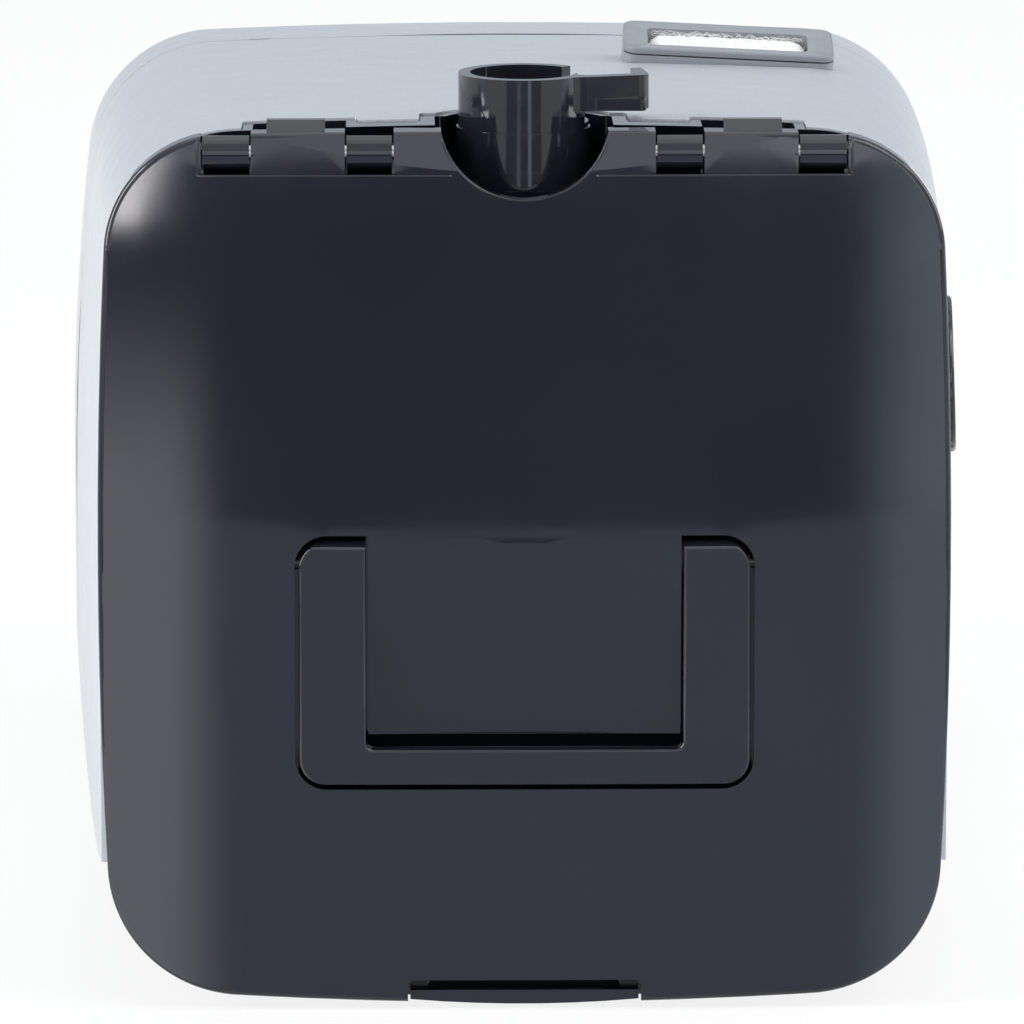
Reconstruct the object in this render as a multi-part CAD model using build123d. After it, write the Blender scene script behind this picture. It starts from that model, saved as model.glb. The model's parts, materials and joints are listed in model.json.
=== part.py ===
"""Bedside breathing-therapy machine with a built-in water chamber.

Frame: X to the right of someone facing the door, Y towards the rear, Z up.
The origin is the middle of the footprint, on the surface that the feet stand on.
All sizes are in millimetres.
"""
from build123d import *
import math
import os

os.makedirs("parts", exist_ok=True)

# ------------------------------------------------------------------ driving sizes
body_length = 272.0        # door face to rear face
front_half_width = 71.9    # silver cover, at its front edge
side_flare = 0.059         # how fast each side moves outwards at the front
side_turn = 0.000039       # how fast that flare dies away towards the rear
front_roof = 151.2         # height of the roof at the front edge
roof_slope = 0.0385        # fall of the roof at the front, per mm
roof_bend = 0.000103       # how fast that slope grows towards the rear
body_floor = 2.0           # underside of the case outline
cover_wall = 2.4           # silver covers
base_wall = 2.4            # dark base
base_inset = 1.4           # step from the covers in to the base
base_top = 7.0             # inner floor of the base
waist = 52.0               # height at which the sides are widest
front_lean = 2.4           # how far each side leans in above the waist, at the front
rear_lean = 5.5            # the same at the seam
floor_lean = 0.2           # how far each side draws in below the waist
roof_crown = 2.3           # bulge of the roof over its width
floor_belly = 0.8          # bulge of the underside
roof_radius = 22.6         # upper corners at the front
rear_roof_radius = 24.4    # upper corners at the seam
floor_radius = 21.0        # lower corners at the front
rear_floor_radius = 15.5   # lower corners from the middle back
rear_radius = 14.5         # edge round the rear face
skirt_height = 8.5         # lower edge of the silver covers, from the middle back
skirt_climb = 0.147        # how fast that edge rises towards the door

door_overlap = 0.05        # door past the cover, on each side
door_step = 0.6            # door's top edge below the roof
door_bottom = 1.1
door_skin = 2.4
door_depth = 7.0           # face to rear edge of the rim
dome_radius = 2200.0       # radius of the cushioned door face
door_top_radius = 20.5
door_bottom_radius = 23.0
door_bow = 2.5             # bulge of the door's sides
door_crown = 0.8           # bulge of its top edge
door_belly = 2.7           # bulge of its bottom edge
door_edge = 1.0            # rounding of the face's edge
strip_drop = 3.3           # bevelled strip's lower edge below the hinge axis
strip_reach = 54.4         # half width of that strip

hinge_back = 4.6           # hinge axis behind the door face
hinge_drop = 3.9           # hinge axis below the door's top edge
hinge_barrel = 3.0         # outer radius of the door's hinge tabs
hinge_pin = 1.25
pin_clearance = 0.06       # radial running fit

handle_width = 76.2
handle_bottom = 39.2
handle_top = 80.8
handle_bar = 6.15          # height of the lower bar
arm_width = 11.3
handle_gap = 0.7           # at the sides
handle_low_gap = 0.75      # below the bar
handle_top_gap = 1.35      # the arms swing into this one
pocket_depth = 8.4         # door face to the floor of the finger pocket
handle_edge = 0.4          # rounding of the handle's face
handle_pin = 1.1
crank_arm = 3.1
latch_travel = 1.1
lip_top = 3.3              # ledge under the latch toe
lip_round = 224.0          # radius of that ledge's lower edge
catch_height = 7.3
scoop_depth = 5.2          # finger scoop's depth at its lower lip
scoop_radius = 400.0       # ball that hollows the scoop
scoop_slope = 6.0          # its slope at the lower lip
outlet_outer = 11.0        # radius of the 22 mm outlet
outlet_wall = 2.0
outlet_back = 8.0          # front of the outlet behind the door face
outlet_rise = 7.1          # its rim above the roof's front edge
outlet_ledge_drop = 2.0    # ledge round it, below that edge
outlet_floor_drop = 11.7   # floor of its pocket, below that edge
spigot_radius = 7.6        # lower end of the outlet, in the manifold
notch_rise = 2.3           # middle of the door's round notch above the roof's front edge
notch_gap = 3.3            # notch round the outlet

knuckle_spans = [(22.2, 29.8), (46.1, 53.9)]
tab_spans = [(outlet_outer + 2.9, 21.9), (30.1, 45.8)]
stop_span = (33.4, 43.2)   # raised stop tab
stop_pocket = (29.9, 45.6) # pocket in the roof behind it
stop_pocket_depth = 11.5
stop_pocket_drop = 12.6    # its floor below the roof's front edge
flange_steps = [(57.0, 1.5), (46.0, 7.4)]  # dark flange along the hinge: half width, depth
flange_height = 11.2

rear_cover_length = 63.0   # rear face to the joint with the front sleeve
seam_gap = 0.9
fit_gap = 0.3              # between loose neighbours
seat_gap = 0.1             # between a piece and what it sits on

control_back = 58.4        # middle of the panel on the right side, in front of the seam
control_z = 84.0
control_length = 96.0
control_height = 56.0
dial_margin = 18.0         # dial's axis from the panel's rear end
dial_z = -5.0
dial_radius = 14.6
dial_travel = 0.5
start_z = 19.5
start_radius = 5.2
start_travel = 0.8
window_margin = 31.0       # middle of the window from the panel's front end
window_z = 0.0
window_width = 54.0
window_height = 40.0

filter_width = 38.0
filter_length = 17.0
filter_back = 2.6          # its near edge in front of the bay's rear
filter_x = 38.65
filter_tilt = 9.6          # the filter leans towards the door
filter_roll = 2.9          # and down to the side
filter_drop = 0.6          # near edge below the roof's middle line
filter_lip = 1.0           # height of the seat under the cassette
filter_plate = 1.1         # thickness of the cassette's face
filter_wall = 1.3          # wall of the seat
filter_window = (4.3, 4.6, 2.5, 4.5)   # borders: left, right, near, far

chamber_length = 108.0
chamber_height = 90.0
chamber_gap = 4.0          # chamber to the bay's walls, on each side
chamber_front_gap = 3.2
bay_half_width = 62.0
bay_floor = 14.0
bay_top = 118.0
bay_depth = 119.0
bay_wall = 2.0
chamber_split = 66.0       # joint between the tub and the lid
chamber_corner = 13.0      # corners of the rims
heater_radius = 42.0
heater_back = 58.4         # its middle behind the bay's front
heater_travel = 1.0
heater_angles = (30, 150, 270)
lid_port_back = 26.4       # port on top of the chamber, behind the bay's front
lid_port_radius = 9.2
air_port_x = -28.0         # port at the rear of the chamber
air_port_z = 92.0

blower_x = -14.0
blower_back = 61.4         # its axis behind the bay's rear
blower_z = 26.0
scroll_radius = 36.0
riser_depth = 14.0         # box that joins the blower to the bay

foot_height = 3.6
foot_radius = 8.0
foot_seat = 4.4

inlet_x = 36.0             # power inlet on the rear face
inlet_z = 42.0
port_x = 36.0              # data port on the rear face
port_z = 40.0
psu_x = 25.0               # power supply board
psu_back = 17.4            # behind the bay's rear
psu_z = 14.0
vent_x = 0.0
vent_z = 74.0
vent_pitch = 5.4
vent_rows = 6

# ------------------------------------------------------------------ derived places
face_y = -body_length / 2
rear_y = body_length / 2
seam_y = rear_y - rear_cover_length
door_half_width = front_half_width + door_overlap
door_top = front_roof - door_step
door_back_y = face_y + door_depth
frame_y = door_back_y + 0.6
sleeve_y = frame_y + 0.8
hinge_y = face_y + hinge_back
hinge_height = door_top - hinge_drop
strip_low = hinge_height - strip_drop
door_mid = (door_top + door_bottom) / 2
cut_low = front_roof - 21.2        # cuts in the front of the roof reach between these heights
cut_high = front_roof + 18.8
outlet_y = face_y + outlet_back + outlet_outer
outlet_bore = outlet_outer - outlet_wall
outlet_top = front_roof + outlet_rise
outlet_ledge = front_roof - outlet_ledge_drop
outlet_floor = front_roof - outlet_floor_drop
notch_height = front_roof + notch_rise
notch_radius = outlet_outer + notch_gap
pocket_floor = front_roof - stop_pocket_drop
bay_front_y = frame_y + 4.0
bay_rear_y = bay_front_y + bay_depth
chamber_half_width = bay_half_width - chamber_gap
chamber_front_y = bay_front_y + chamber_front_gap
heater_y = bay_front_y + heater_back
lid_port_y = bay_front_y + lid_port_back
blower_y = bay_rear_y + blower_back
psu_y = bay_rear_y + psu_back
filter_near_y = bay_rear_y - filter_back
control_y = seam_y - control_back
dial_x = control_length / 2 - dial_margin
window_x = window_margin - control_length / 2
handle_pivot_y = face_y + 4.6
handle_pivot_z = handle_top - 4.0
liner_y = face_y + 11.6
toe_low = lip_top + latch_travel + 0.4
spigot_y = outlet_y + outlet_outer - spigot_radius
tub_floor = bay_floor + 6.0
heater_top = tub_floor - 1.2 - seat_gap
flap_y = rear_y - 1.3
flap_z = port_z - 4.6


# ------------------------------------------------------------------ helpers
def block(x0, x1, y0, y1, z0, z1):
    """Block between two corners."""
    middle = Pos((x0 + x1) / 2, (y0 + y1) / 2, (z0 + z1) / 2)
    return middle * Box(x1 - x0, y1 - y0, z1 - z0)


def upright(y):
    """Plane facing the front at a depth y; its own axes are X and Z."""
    return Plane(origin=(0, y, 0), x_dir=(1, 0, 0), z_dir=(0, -1, 0))


def slab(sketch, y0, y1):
    """Solid of an X-Z outline between two depths, y0 in front of y1."""
    return extrude(upright(y1) * sketch, amount=y1 - y0)


def tray(sketch, z0, z1):
    """Solid of an X-Y outline between two heights."""
    return extrude(Plane.XY.offset(z0) * sketch, amount=z1 - z0)


def side_slab(points, x0, x1):
    """Solid of a closed Y-Z outline between two places across."""
    face = make_face(Polyline(*points, close=True))
    return extrude(Plane.YZ.offset(x0) * face, amount=x1 - x0)


def panel(x0, x1, y0, y1, radius):
    """Rounded rectangle between two corners of its plane."""
    return Pos((x0 + x1) / 2, (y0 + y1) / 2) * RectangleRounded(x1 - x0, y1 - y0, radius)


def rod_x(x0, x1, y, z, radius):
    """Cylinder along X."""
    return Pos((x0 + x1) / 2, y, z) * Rot(0, 90, 0) * Cylinder(radius, abs(x1 - x0))


def rod_y(x, y0, y1, z, radius):
    """Cylinder along Y."""
    return Pos(x, (y0 + y1) / 2, z) * Rot(90, 0, 0) * Cylinder(radius, y1 - y0)


def rod_z(x, y, z0, z1, radius):
    """Cylinder along Z."""
    return Pos(x, y, (z0 + z1) / 2) * Cylinder(radius, z1 - z0)


def polar(radius, angle):
    """Point at a radius and an angle in degrees."""
    return radius * math.cos(math.radians(angle)), radius * math.sin(math.radians(angle))


def both_sides(solid):
    """A piece and its mirror image across the middle plane."""
    return solid + mirror(solid, Plane.YZ)


def outline(half, widest, top, bottom, radii, leans, crown, belly):
    """Rounded front outline with bowed edges, in X and Z.

    The sides are widest at one height, and lean in above and below it.
    """
    upper = half - leans[0]
    lower = half - leans[1]
    high = top - crown
    low = bottom + belly
    above = (half - leans[0] / 4, (widest + high) / 2)
    below = (half - leans[1] / 4, (widest + low) / 2)
    with BuildSketch() as face:
        with BuildLine():
            ThreePointArc((-lower, low), (-below[0], below[1]), (-half, widest))
            ThreePointArc((-half, widest), (-above[0], above[1]), (-upper, high))
            ThreePointArc((-upper, high), (0, top), (upper, high))
            ThreePointArc((upper, high), above, (half, widest))
            ThreePointArc((half, widest), below, (lower, low))
            ThreePointArc((lower, low), (0, bottom), (-lower, low))
        make_face()
        fillet(face.vertices().filter_by_position(Axis.Y, high - 0.01, high + 0.01), radii[0])
        fillet(face.vertices().filter_by_position(Axis.Y, low - 0.01, low + 0.01), radii[1])
    return face.sketch


def half_width(y):
    """Half width of the case at a depth, at its waist."""
    back = y - sleeve_y
    return front_half_width + side_flare * back - side_turn * back * back


def lean(y):
    """How far each side leans in above the waist, at a depth."""
    return front_lean + (rear_lean - front_lean) * (y - sleeve_y) / (seam_y - sleeve_y)


def side_place(y, z):
    """Place across of the right side's surface, and its slopes along Y and Z."""
    rise = (z - waist) / (roof(y) - roof_crown - waist)
    place = half_width(y) - lean(y) * rise * rise
    along = side_flare - 2 * side_turn * (y - sleeve_y)
    upward = -2 * lean(y) * rise / (roof(y) - roof_crown - waist)
    return place, along, upward


def roof(y):
    """Height of the roof's middle line at a depth."""
    back = y - sleeve_y
    return front_roof - roof_slope * back - roof_bend * back * back


def case_section(y, inset):
    """Cross-section of the case at a depth, moved inwards by inset."""
    share = (y - sleeve_y) / (seam_y - sleeve_y)
    upper = roof_radius + (rear_roof_radius - roof_radius) * share
    lower = floor_radius + (rear_floor_radius - floor_radius) * min(1, 2 * share)
    radii = (max(upper - inset, 3.0), max(lower - inset, 3.0))
    leans = (lean(y), floor_lean)
    return upright(y) * outline(half_width(y) - inset, waist, roof(y) - inset, body_floor + inset,
                                radii, leans, roof_crown, floor_belly)


def case_loft(inset, y0, y1):
    """Solid of the case between two depths, moved inwards by inset."""
    stations = [y0, y0 + (y1 - y0) * 0.35, y0 + (y1 - y0) * 0.7, y1]
    return loft([case_section(y, inset) for y in stations])


def rear_end(inset):
    """Rear end of the case from the seam back, with its rounded rear edge."""
    solid = case_loft(inset, seam_y, rear_y - inset)
    return fillet(solid.faces().sort_by(Axis.Y)[-1].edges(), rear_radius - inset)


def below_skirt(lift):
    """Everything under the silver covers' lower edge, which rises towards the door."""
    front = face_y - 20
    knee = face_y + 116.0
    level = skirt_height + lift
    climb = level + (knee - front) * skirt_climb
    with BuildSketch() as side:
        with BuildLine():
            Polyline((front, -20), (front, climb), (knee, level), (rear_y + 20, level),
                     (rear_y + 20, -20), close=True)
        make_face()
        bend = side.vertices().filter_by_position(Axis.X, knee - 1, knee + 1)
        fillet(bend, 400)
    return extrude(Plane.YZ.offset(-120) * side.sketch, amount=240)


def control_plane(out):
    """Plane that lies against the right side of the case; out is measured outwards."""
    place, along, upward = side_place(control_y, control_z)
    normal = Vector(1, -along, -upward).normalized()
    centre = Vector(place - 0.5, control_y, control_z) + normal * out
    return Plane(origin=centre, x_dir=Vector(along, 1, 0), z_dir=normal)


def on_panel(sketch, low, high):
    """Solid standing on the control plane between two heights."""
    return extrude(control_plane(low) * sketch, amount=high - low)


def outlet_recess(grow, low, high):
    """Keyhole-shaped pocket round the air outlet."""
    wing = outlet_outer + 4.0 + grow
    hole = tray(panel(-wing, wing, face_y - 6, outlet_y + 4.0 + grow, 1.0), low, high)
    return hole + rod_z(0, outlet_y, low, high, outlet_outer + 2.6 + grow)


def hinge_pocket(grow, low, high):
    """Pocket behind one of the door's stop tabs, on the right-hand side."""
    rear = frame_y + stop_pocket_depth + grow
    return tray(panel(stop_pocket[0] - grow, stop_pocket[1] + grow, frame_y - 6, rear, 0.8), low, high)


# ------------------------------------------------------------------ case
def outer_sleeve():
    """Silver cover over the front three quarters, open below and at both ends."""
    shell = case_loft(0, sleeve_y, seam_y - seam_gap / 2)
    shell -= case_loft(cover_wall, sleeve_y - 4, seam_y + 4)
    shell -= below_skirt(0)
    for reach, depth in flange_steps:
        shell -= block(-reach - 0.2, reach + 0.2, face_y, sleeve_y + depth + 0.2, cut_low, cut_high)
    shell -= outlet_recess(cover_wall + 0.2, cut_low, cut_high)
    pocket = hinge_pocket(1.9, cut_low, cut_high)
    shell -= pocket
    shell -= mirror(pocket, Plane.YZ)
    shell -= on_panel(RectangleRounded(control_length, control_height, 14), -12, 6)
    half = filter_width / 2 - filter_wall + 0.1
    near = filter_near_y + filter_wall - 0.1
    far = filter_near_y + filter_length - filter_wall + 0.1
    level = roof(filter_near_y)
    shell -= tray(panel(filter_x - half, filter_x + half, near, far, 2), level - 25, level + 15)
    return shell


def rear_cover():
    """Silver rear cover with a tongue that enters the sleeve."""
    shell = rear_end(0) - block(-120, 120, seam_y - 1, seam_y + seam_gap / 2, -10, 200)
    shell -= rear_end(cover_wall)
    tongue = case_loft(cover_wall + 0.15, seam_y - 6, seam_y + 6)
    tongue += case_loft(cover_wall - 0.6, seam_y + 1.0, seam_y + 6)
    tongue -= case_loft(cover_wall + 1.7, seam_y - 8, seam_y + 8)
    shell += tongue
    shell -= below_skirt(0)
    shell -= slab(panel(-inlet_x - 13.2, -inlet_x + 13.2, inlet_z - 9.2, inlet_z + 9.2, 2),
                  rear_y - 8, rear_y + 2)
    shell -= slab(panel(port_x - 10.2, port_x + 10.2, port_z - 6.2, port_z + 6.2, 2),
                  rear_y - 8, rear_y + 2)
    for row in range(vent_rows):
        z = vent_z + row * vent_pitch
        shell -= slab(panel(vent_x - 22, vent_x + 22, z, z + 2.2, 1.0), rear_y - 12, rear_y + 2)
    clip = block(-49.0, -45.0, seam_y - 2, seam_y + 2.6, roof(seam_y) - 19, roof(seam_y) + 20)
    return shell - clip


def base():
    """Dark base tray that carries the case, with ribs, screw bosses and foot seats."""
    front = bay_front_y + seat_gap
    low = (case_loft(base_inset, front, seam_y) + rear_end(base_inset)) & below_skirt(-0.4)
    high = case_loft(cover_wall + 0.3, front, seam_y - 7) & below_skirt(8)
    pan = low + high
    inner = base_inset + base_wall
    inside = case_loft(inner, front + base_wall, seam_y) + rear_end(inner)
    pan -= inside & block(-120, 120, face_y - 4, rear_y + 4, base_top, 60)
    half = bay_half_width + bay_wall + fit_gap
    pan -= block(-half, half, front - 5, bay_rear_y + fit_gap, bay_floor - bay_wall - seat_gap, 60)
    for foot_x, foot_y in foot_places():
        pan -= rod_z(foot_x, foot_y, 0, foot_seat, foot_radius + 0.1)
    for screw_x, screw_y in screw_places():
        pan += rod_z(screw_x, screw_y, 5.0, 11.0, 3.6)
        pan -= rod_z(screw_x, screw_y, 0, 6.0, 3.2)
        pan -= rod_z(screw_x, screw_y, 0, 11.5, 1.3)
    for row in range(8):
        y = blower_y - 22.0 + row * 6.0
        pan -= tray(panel(blower_x - 38, blower_x - 4, y, y + 2.4, 1.1), 0, 12)
    return pan


def foot_places():
    """Centres of the four feet."""
    return [(x, y) for x in (-46.0, 46.0) for y in (face_y + 30.0, rear_y - 34.0)]


def screw_places():
    """Centres of the six case screws."""
    rows = (face_y + 52.0, bay_rear_y + 9.4, rear_y - 48.0)
    return [(x, y) for x in (-49.0, 49.0) for y in rows]


def feet():
    """Four round rubber feet with a domed contact edge."""
    group = []
    for foot_x, foot_y in foot_places():
        pad = rod_z(foot_x, foot_y, 0, foot_seat - seat_gap, foot_radius)
        pad = fillet(pad.edges().group_by(Axis.Z)[0], 1.0)
        pad -= rod_z(foot_x, foot_y, -1, 0.6, foot_radius - 3.4)
        group.append(pad)
    return Compound(children=[solid for pad in group for solid in pad.solids()])


def case_screws():
    """Six pan-head screws that hold the base to the covers."""
    group = []
    for screw_x, screw_y in screw_places():
        screw = rod_z(screw_x, screw_y, 3.9, 6.0 - seat_gap, 2.8)
        screw += rod_z(screw_x, screw_y, 5.0, 10.6, 1.2)
        screw -= Pos(screw_x, screw_y, 4.2) * Box(0.8, 3.6, 1.0)
        screw -= Pos(screw_x, screw_y, 4.2) * Box(3.6, 0.8, 1.0)
        group.append(screw)
    return Compound(children=[solid for screw in group for solid in screw.solids()])


def front_frame():
    """Dark frame behind the door: bay opening, hinge knuckles, tab pockets, outlet pocket, catch."""
    trim = case_loft(0.3, sleeve_y - 2.0, sleeve_y + 40)
    ring = case_loft(cover_wall + 0.2, frame_y, bay_front_y)
    ring += case_loft(base_inset, frame_y, bay_front_y) & below_skirt(-0.4)
    strips = [block(-reach, reach, frame_y, sleeve_y + depth, front_roof - flange_height, cut_high)
              for reach, depth in flange_steps]
    flange = trim & (strips[0] + strips[1])
    behind = block(-60, 60, frame_y, bay_rear_y, cut_low, cut_high)
    cup = trim & outlet_recess(cover_wall, outlet_floor - 2.5, cut_high) & behind
    side_cup = trim & hinge_pocket(1.7, pocket_floor - 1.6, cut_high) & behind
    foot = slab(panel(-26, 26, door_bottom + 0.1, 7.0, 0.9), frame_y, bay_front_y)
    frame = ring + flange + cup + both_sides(side_cup) + foot
    frame -= rod_x(-80, 80, hinge_y, hinge_height, hinge_barrel + 2.4)
    frame -= outlet_recess(0, outlet_floor, cut_high)
    frame -= both_sides(hinge_pocket(0, pocket_floor, cut_high))
    frame -= slab(panel(-bay_half_width, bay_half_width, bay_floor, bay_top, 8), frame_y - 5, 0)
    frame -= rod_z(0, spigot_y, outlet_floor - 4, outlet_floor + 1, spigot_radius + fit_gap)
    for low, high in knuckle_spans:
        knuckle = rod_x(low, high, hinge_y, hinge_height, hinge_barrel - 0.1)
        knuckle += block(low, high, hinge_y, frame_y + 2.2, hinge_height - 2.2, hinge_height + 2.2)
        frame += both_sides(knuckle)
    frame -= both_sides(rod_x(outlet_outer + 1, knuckle_spans[1][1] + 2.1, hinge_y, hinge_height,
                              hinge_pin + 0.02))
    lip_low = door_bottom - 0.2
    lip = slab(panel(-19.4, 19.4, lip_low, 9.0, 0.9), face_y + 2.0, bay_front_y)
    lip = lip & rod_y(0, face_y, bay_front_y, lip_low + lip_round, lip_round)
    lip -= slab(panel(-16.4, 16.4, lip_top, catch_height, 0.4), face_y, bay_front_y + 1)
    lip -= block(-30, 30, face_y, frame_y - 0.2, lip_top, 12)
    frame -= slab(panel(-16.4, 16.4, lip_top, catch_height, 0.4), face_y, bay_front_y + 1)
    return frame + lip


def bay_liner():
    """Chamber bay, open to the front, with a heater opening and two air ports."""
    half = bay_half_width + bay_wall
    shell = slab(panel(-half, half, bay_floor - bay_wall, bay_top, 8), bay_front_y + seat_gap, bay_rear_y)
    inner_top = bay_top - bay_wall
    shell -= slab(panel(-bay_half_width, bay_half_width, bay_floor, inner_top, 6),
                  bay_front_y - 1, bay_rear_y - bay_wall)
    shell -= rod_z(0, heater_y, bay_floor - 6, 40, heater_radius + 1.2)
    shell -= rod_z(0, lid_port_y, bay_top - 18, bay_top + 7, lid_port_radius + 2.3)
    shell -= rod_y(air_port_x, bay_rear_y - 4, bay_rear_y + 2, air_port_z, 12.0)
    return shell


# ------------------------------------------------------------------ door
def door_outline(inset):
    """Front outline of the door, moved inwards by inset."""
    radii = (door_top_radius - inset, door_bottom_radius - inset)
    return outline(door_half_width - inset, door_mid, door_top - inset, door_bottom + inset,
                   radii, (door_bow, door_bow), door_crown, door_belly)


def dome(inset):
    """Ball whose front gives the door its cushioned face."""
    return Pos(0, face_y + dome_radius, door_mid) * Sphere(dome_radius - inset)


def door_shell():
    """Moulded door: cushioned skin, rim, hinge tabs, outlet notch and finger pocket."""
    skin = slab(door_outline(0), face_y - 3, door_back_y) & dome(0)
    skin = fillet(skin.faces().sort_by(Axis.Y)[0].edges(), door_edge)
    skin -= slab(door_outline(door_skin), face_y - 3, door_back_y + 1) & dome(door_skin)
    strip_top = front_roof + 0.8
    bevel = side_slab([(face_y - 1, strip_low), (face_y + 1.02, strip_low), (face_y + 1.9, strip_top),
                       (face_y - 1, strip_top)], -strip_reach, strip_reach)
    skin -= bevel
    for low, high in tab_spans:
        skin += both_sides(rod_x(low, high, hinge_y, hinge_height, hinge_barrel))
    stop = side_slab([(hinge_y - 1, hinge_height + 1), (hinge_y + 3.0, hinge_height + 1),
                      (hinge_y + 5.0, hinge_height + 4.0), (hinge_y + 4.4, hinge_height + 5.2),
                      (hinge_y + 2.6, hinge_height + 5.2), (hinge_y - 1.0, hinge_height + 2.6)],
                     stop_span[0], stop_span[1])
    skin += both_sides(stop)
    for low, high in knuckle_spans:
        skin -= both_sides(block(low - fit_gap, high + fit_gap, face_y - 2, door_back_y + 2,
                                 hinge_height - hinge_barrel - 0.4, cut_high))
    skin -= both_sides(rod_x(outlet_outer + 1, tab_spans[1][1] + 1, hinge_y, hinge_height,
                             hinge_pin + pin_clearance))
    skin -= rod_y(0, face_y - 3, door_back_y + 3, notch_height, notch_radius)
    skin -= slab(panel(-19.8, 19.8, -4, 5.2, 1.2), face_y - 2, door_back_y + 2)

    wall = 2.0
    half = handle_width / 2 + handle_gap
    low = handle_bottom - handle_low_gap
    high = handle_top + handle_top_gap
    floor_y = face_y + pocket_depth
    body = slab(panel(-half - wall, half + wall, low - wall, high + wall, 6.4),
                face_y + 1.2, floor_y + 1.6)
    hole = slab(panel(-half, half, low, high, 5.4), face_y - 3, floor_y)
    skin = (skin + body) - hole
    skin -= both_sides(rod_x(handle_width / 2 - 2, half + wall + 1, handle_pivot_y, handle_pivot_z,
                             handle_pin + pin_clearance))
    skin += finger_scoop(half, high)
    return skin


def finger_scoop(half, high):
    """Dished sheet between the handle's arms that sinks behind the lower bar."""
    inner = half - handle_gap - arm_width - 0.4
    sheet = 1.8
    lip = handle_bottom + handle_bar + 1.9
    slope = math.radians(scoop_slope)
    back = face_y + scoop_depth - scoop_radius * math.cos(slope)
    middle = Pos(0, back, lip - scoop_radius * math.sin(slope))
    dish = middle * Sphere(scoop_radius + sheet) - middle * Sphere(scoop_radius)
    return dish & block(-inner, inner, face_y - 1, face_y + pocket_depth, lip, high + 0.4) & dome(0.2)


def door_liner():
    """Inner pan of the door, which enters the bay opening."""
    half = bay_half_width - 1.5
    low = bay_floor + 1.5
    high = bay_top - 1.5
    pan = slab(panel(-half, half, low, high, 7), face_y + 5.2, liner_y)
    pan -= slab(panel(-half + 1.5, half - 1.5, low + 1.5, high - 1.5, 5.5), face_y + 4, liner_y - 1.5)
    flange = slab(panel(-half - 4, half + 4, low - 4, high + 4, 10), face_y + 5.2, face_y + 6.0)
    flange -= slab(panel(-half + 1, half - 1, low + 1, high - 1, 6), face_y + 4, face_y + 7)
    pan += flange
    for x in (-34.0, 0.0, 34.0):
        pan += slab(panel(x - 6, x + 6, 92, 106, 2), liner_y - 0.5, liner_y + 1.0)
    return pan


def door_seal():
    """Rubber gasket round the liner, just clear of the frame."""
    half = bay_half_width + 2.4
    ring = slab(panel(-half, half, bay_floor - 2.4, bay_top + 2.4, 10), face_y + 6.1, frame_y - fit_gap)
    half = bay_half_width - 0.9
    ring -= slab(panel(-half, half, bay_floor + 0.9, bay_top - 0.9, 7), face_y + 5, frame_y + 1)
    return ring


def door_handle():
    """U-shaped pull whose face follows the door's cushioned face."""
    half = handle_width / 2
    blank = slab(panel(-half, half, handle_bottom, handle_top, 4.4), face_y - 3, face_y + 3.2) & dome(0)
    inner = half - arm_width
    blank -= slab(panel(-inner, inner, handle_bottom + handle_bar, handle_top + 20, 1.4),
                  face_y - 3, face_y + 9)
    blank = fillet(blank.faces().sort_by(Axis.Y)[0].edges(), handle_edge)
    blank -= side_slab([(face_y - 1, handle_top - 2.2), (face_y + 2.2, handle_top + 1),
                        (face_y - 1, handle_top + 1)], -half - 1, half + 1)
    blank += slab(panel(-inner - 4, inner + 4, handle_bottom + 0.6, handle_bottom + 3.4, 1.2),
                  face_y + 2.8, face_y + 5.0)
    for side in (-1, 1):
        mid = side * (half - arm_width / 2)
        boss = rod_x(mid - arm_width / 2, mid + arm_width / 2, handle_pivot_y, handle_pivot_z, 2.2)
        blank += boss
        blank -= rod_x(side * (half - 7), side * (half + 1), handle_pivot_y, handle_pivot_z,
                       handle_pin + 0.02)
    return blank


def handle_pins():
    """Two pivot pins, each with the small crank that works the latch."""
    half = handle_width / 2
    out = half + handle_gap + 2.0
    group = []
    for side in (-1, 1):
        pin = rod_x(side * (half - 6.5), side * (out + 3.6), handle_pivot_y, handle_pivot_z, handle_pin)
        crank = rod_x(side * (out + 0.5), side * (out + 3.4), handle_pivot_y, handle_pivot_z, 1.5)
        crank += rod_x(side * (out + 0.5), side * (out + 3.4), handle_pivot_y + crank_arm,
                       handle_pivot_z, 0.9)
        low_x, high_x = sorted((side * (out + 0.5), side * (out + 3.4)))
        crank += block(low_x, high_x, handle_pivot_y, handle_pivot_y + crank_arm,
                       handle_pivot_z - 0.9, handle_pivot_z + 0.9)
        group.extend((pin + crank).solids())
    return Compound(children=group)


def handle_springs():
    """Two torsion springs beside the handle's bosses, drawn as closed coils."""
    group = []
    half = handle_width / 2 - arm_width
    for side in (-1, 1):
        for turn in range(3):
            x = side * (half - 1.2 - turn * 0.9)
            ring = Pos(x, handle_pivot_y + 0.9, handle_pivot_z) * Rot(0, 90, 0) * Torus(1.5, 0.4)
            group.append(ring)
    return group


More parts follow.
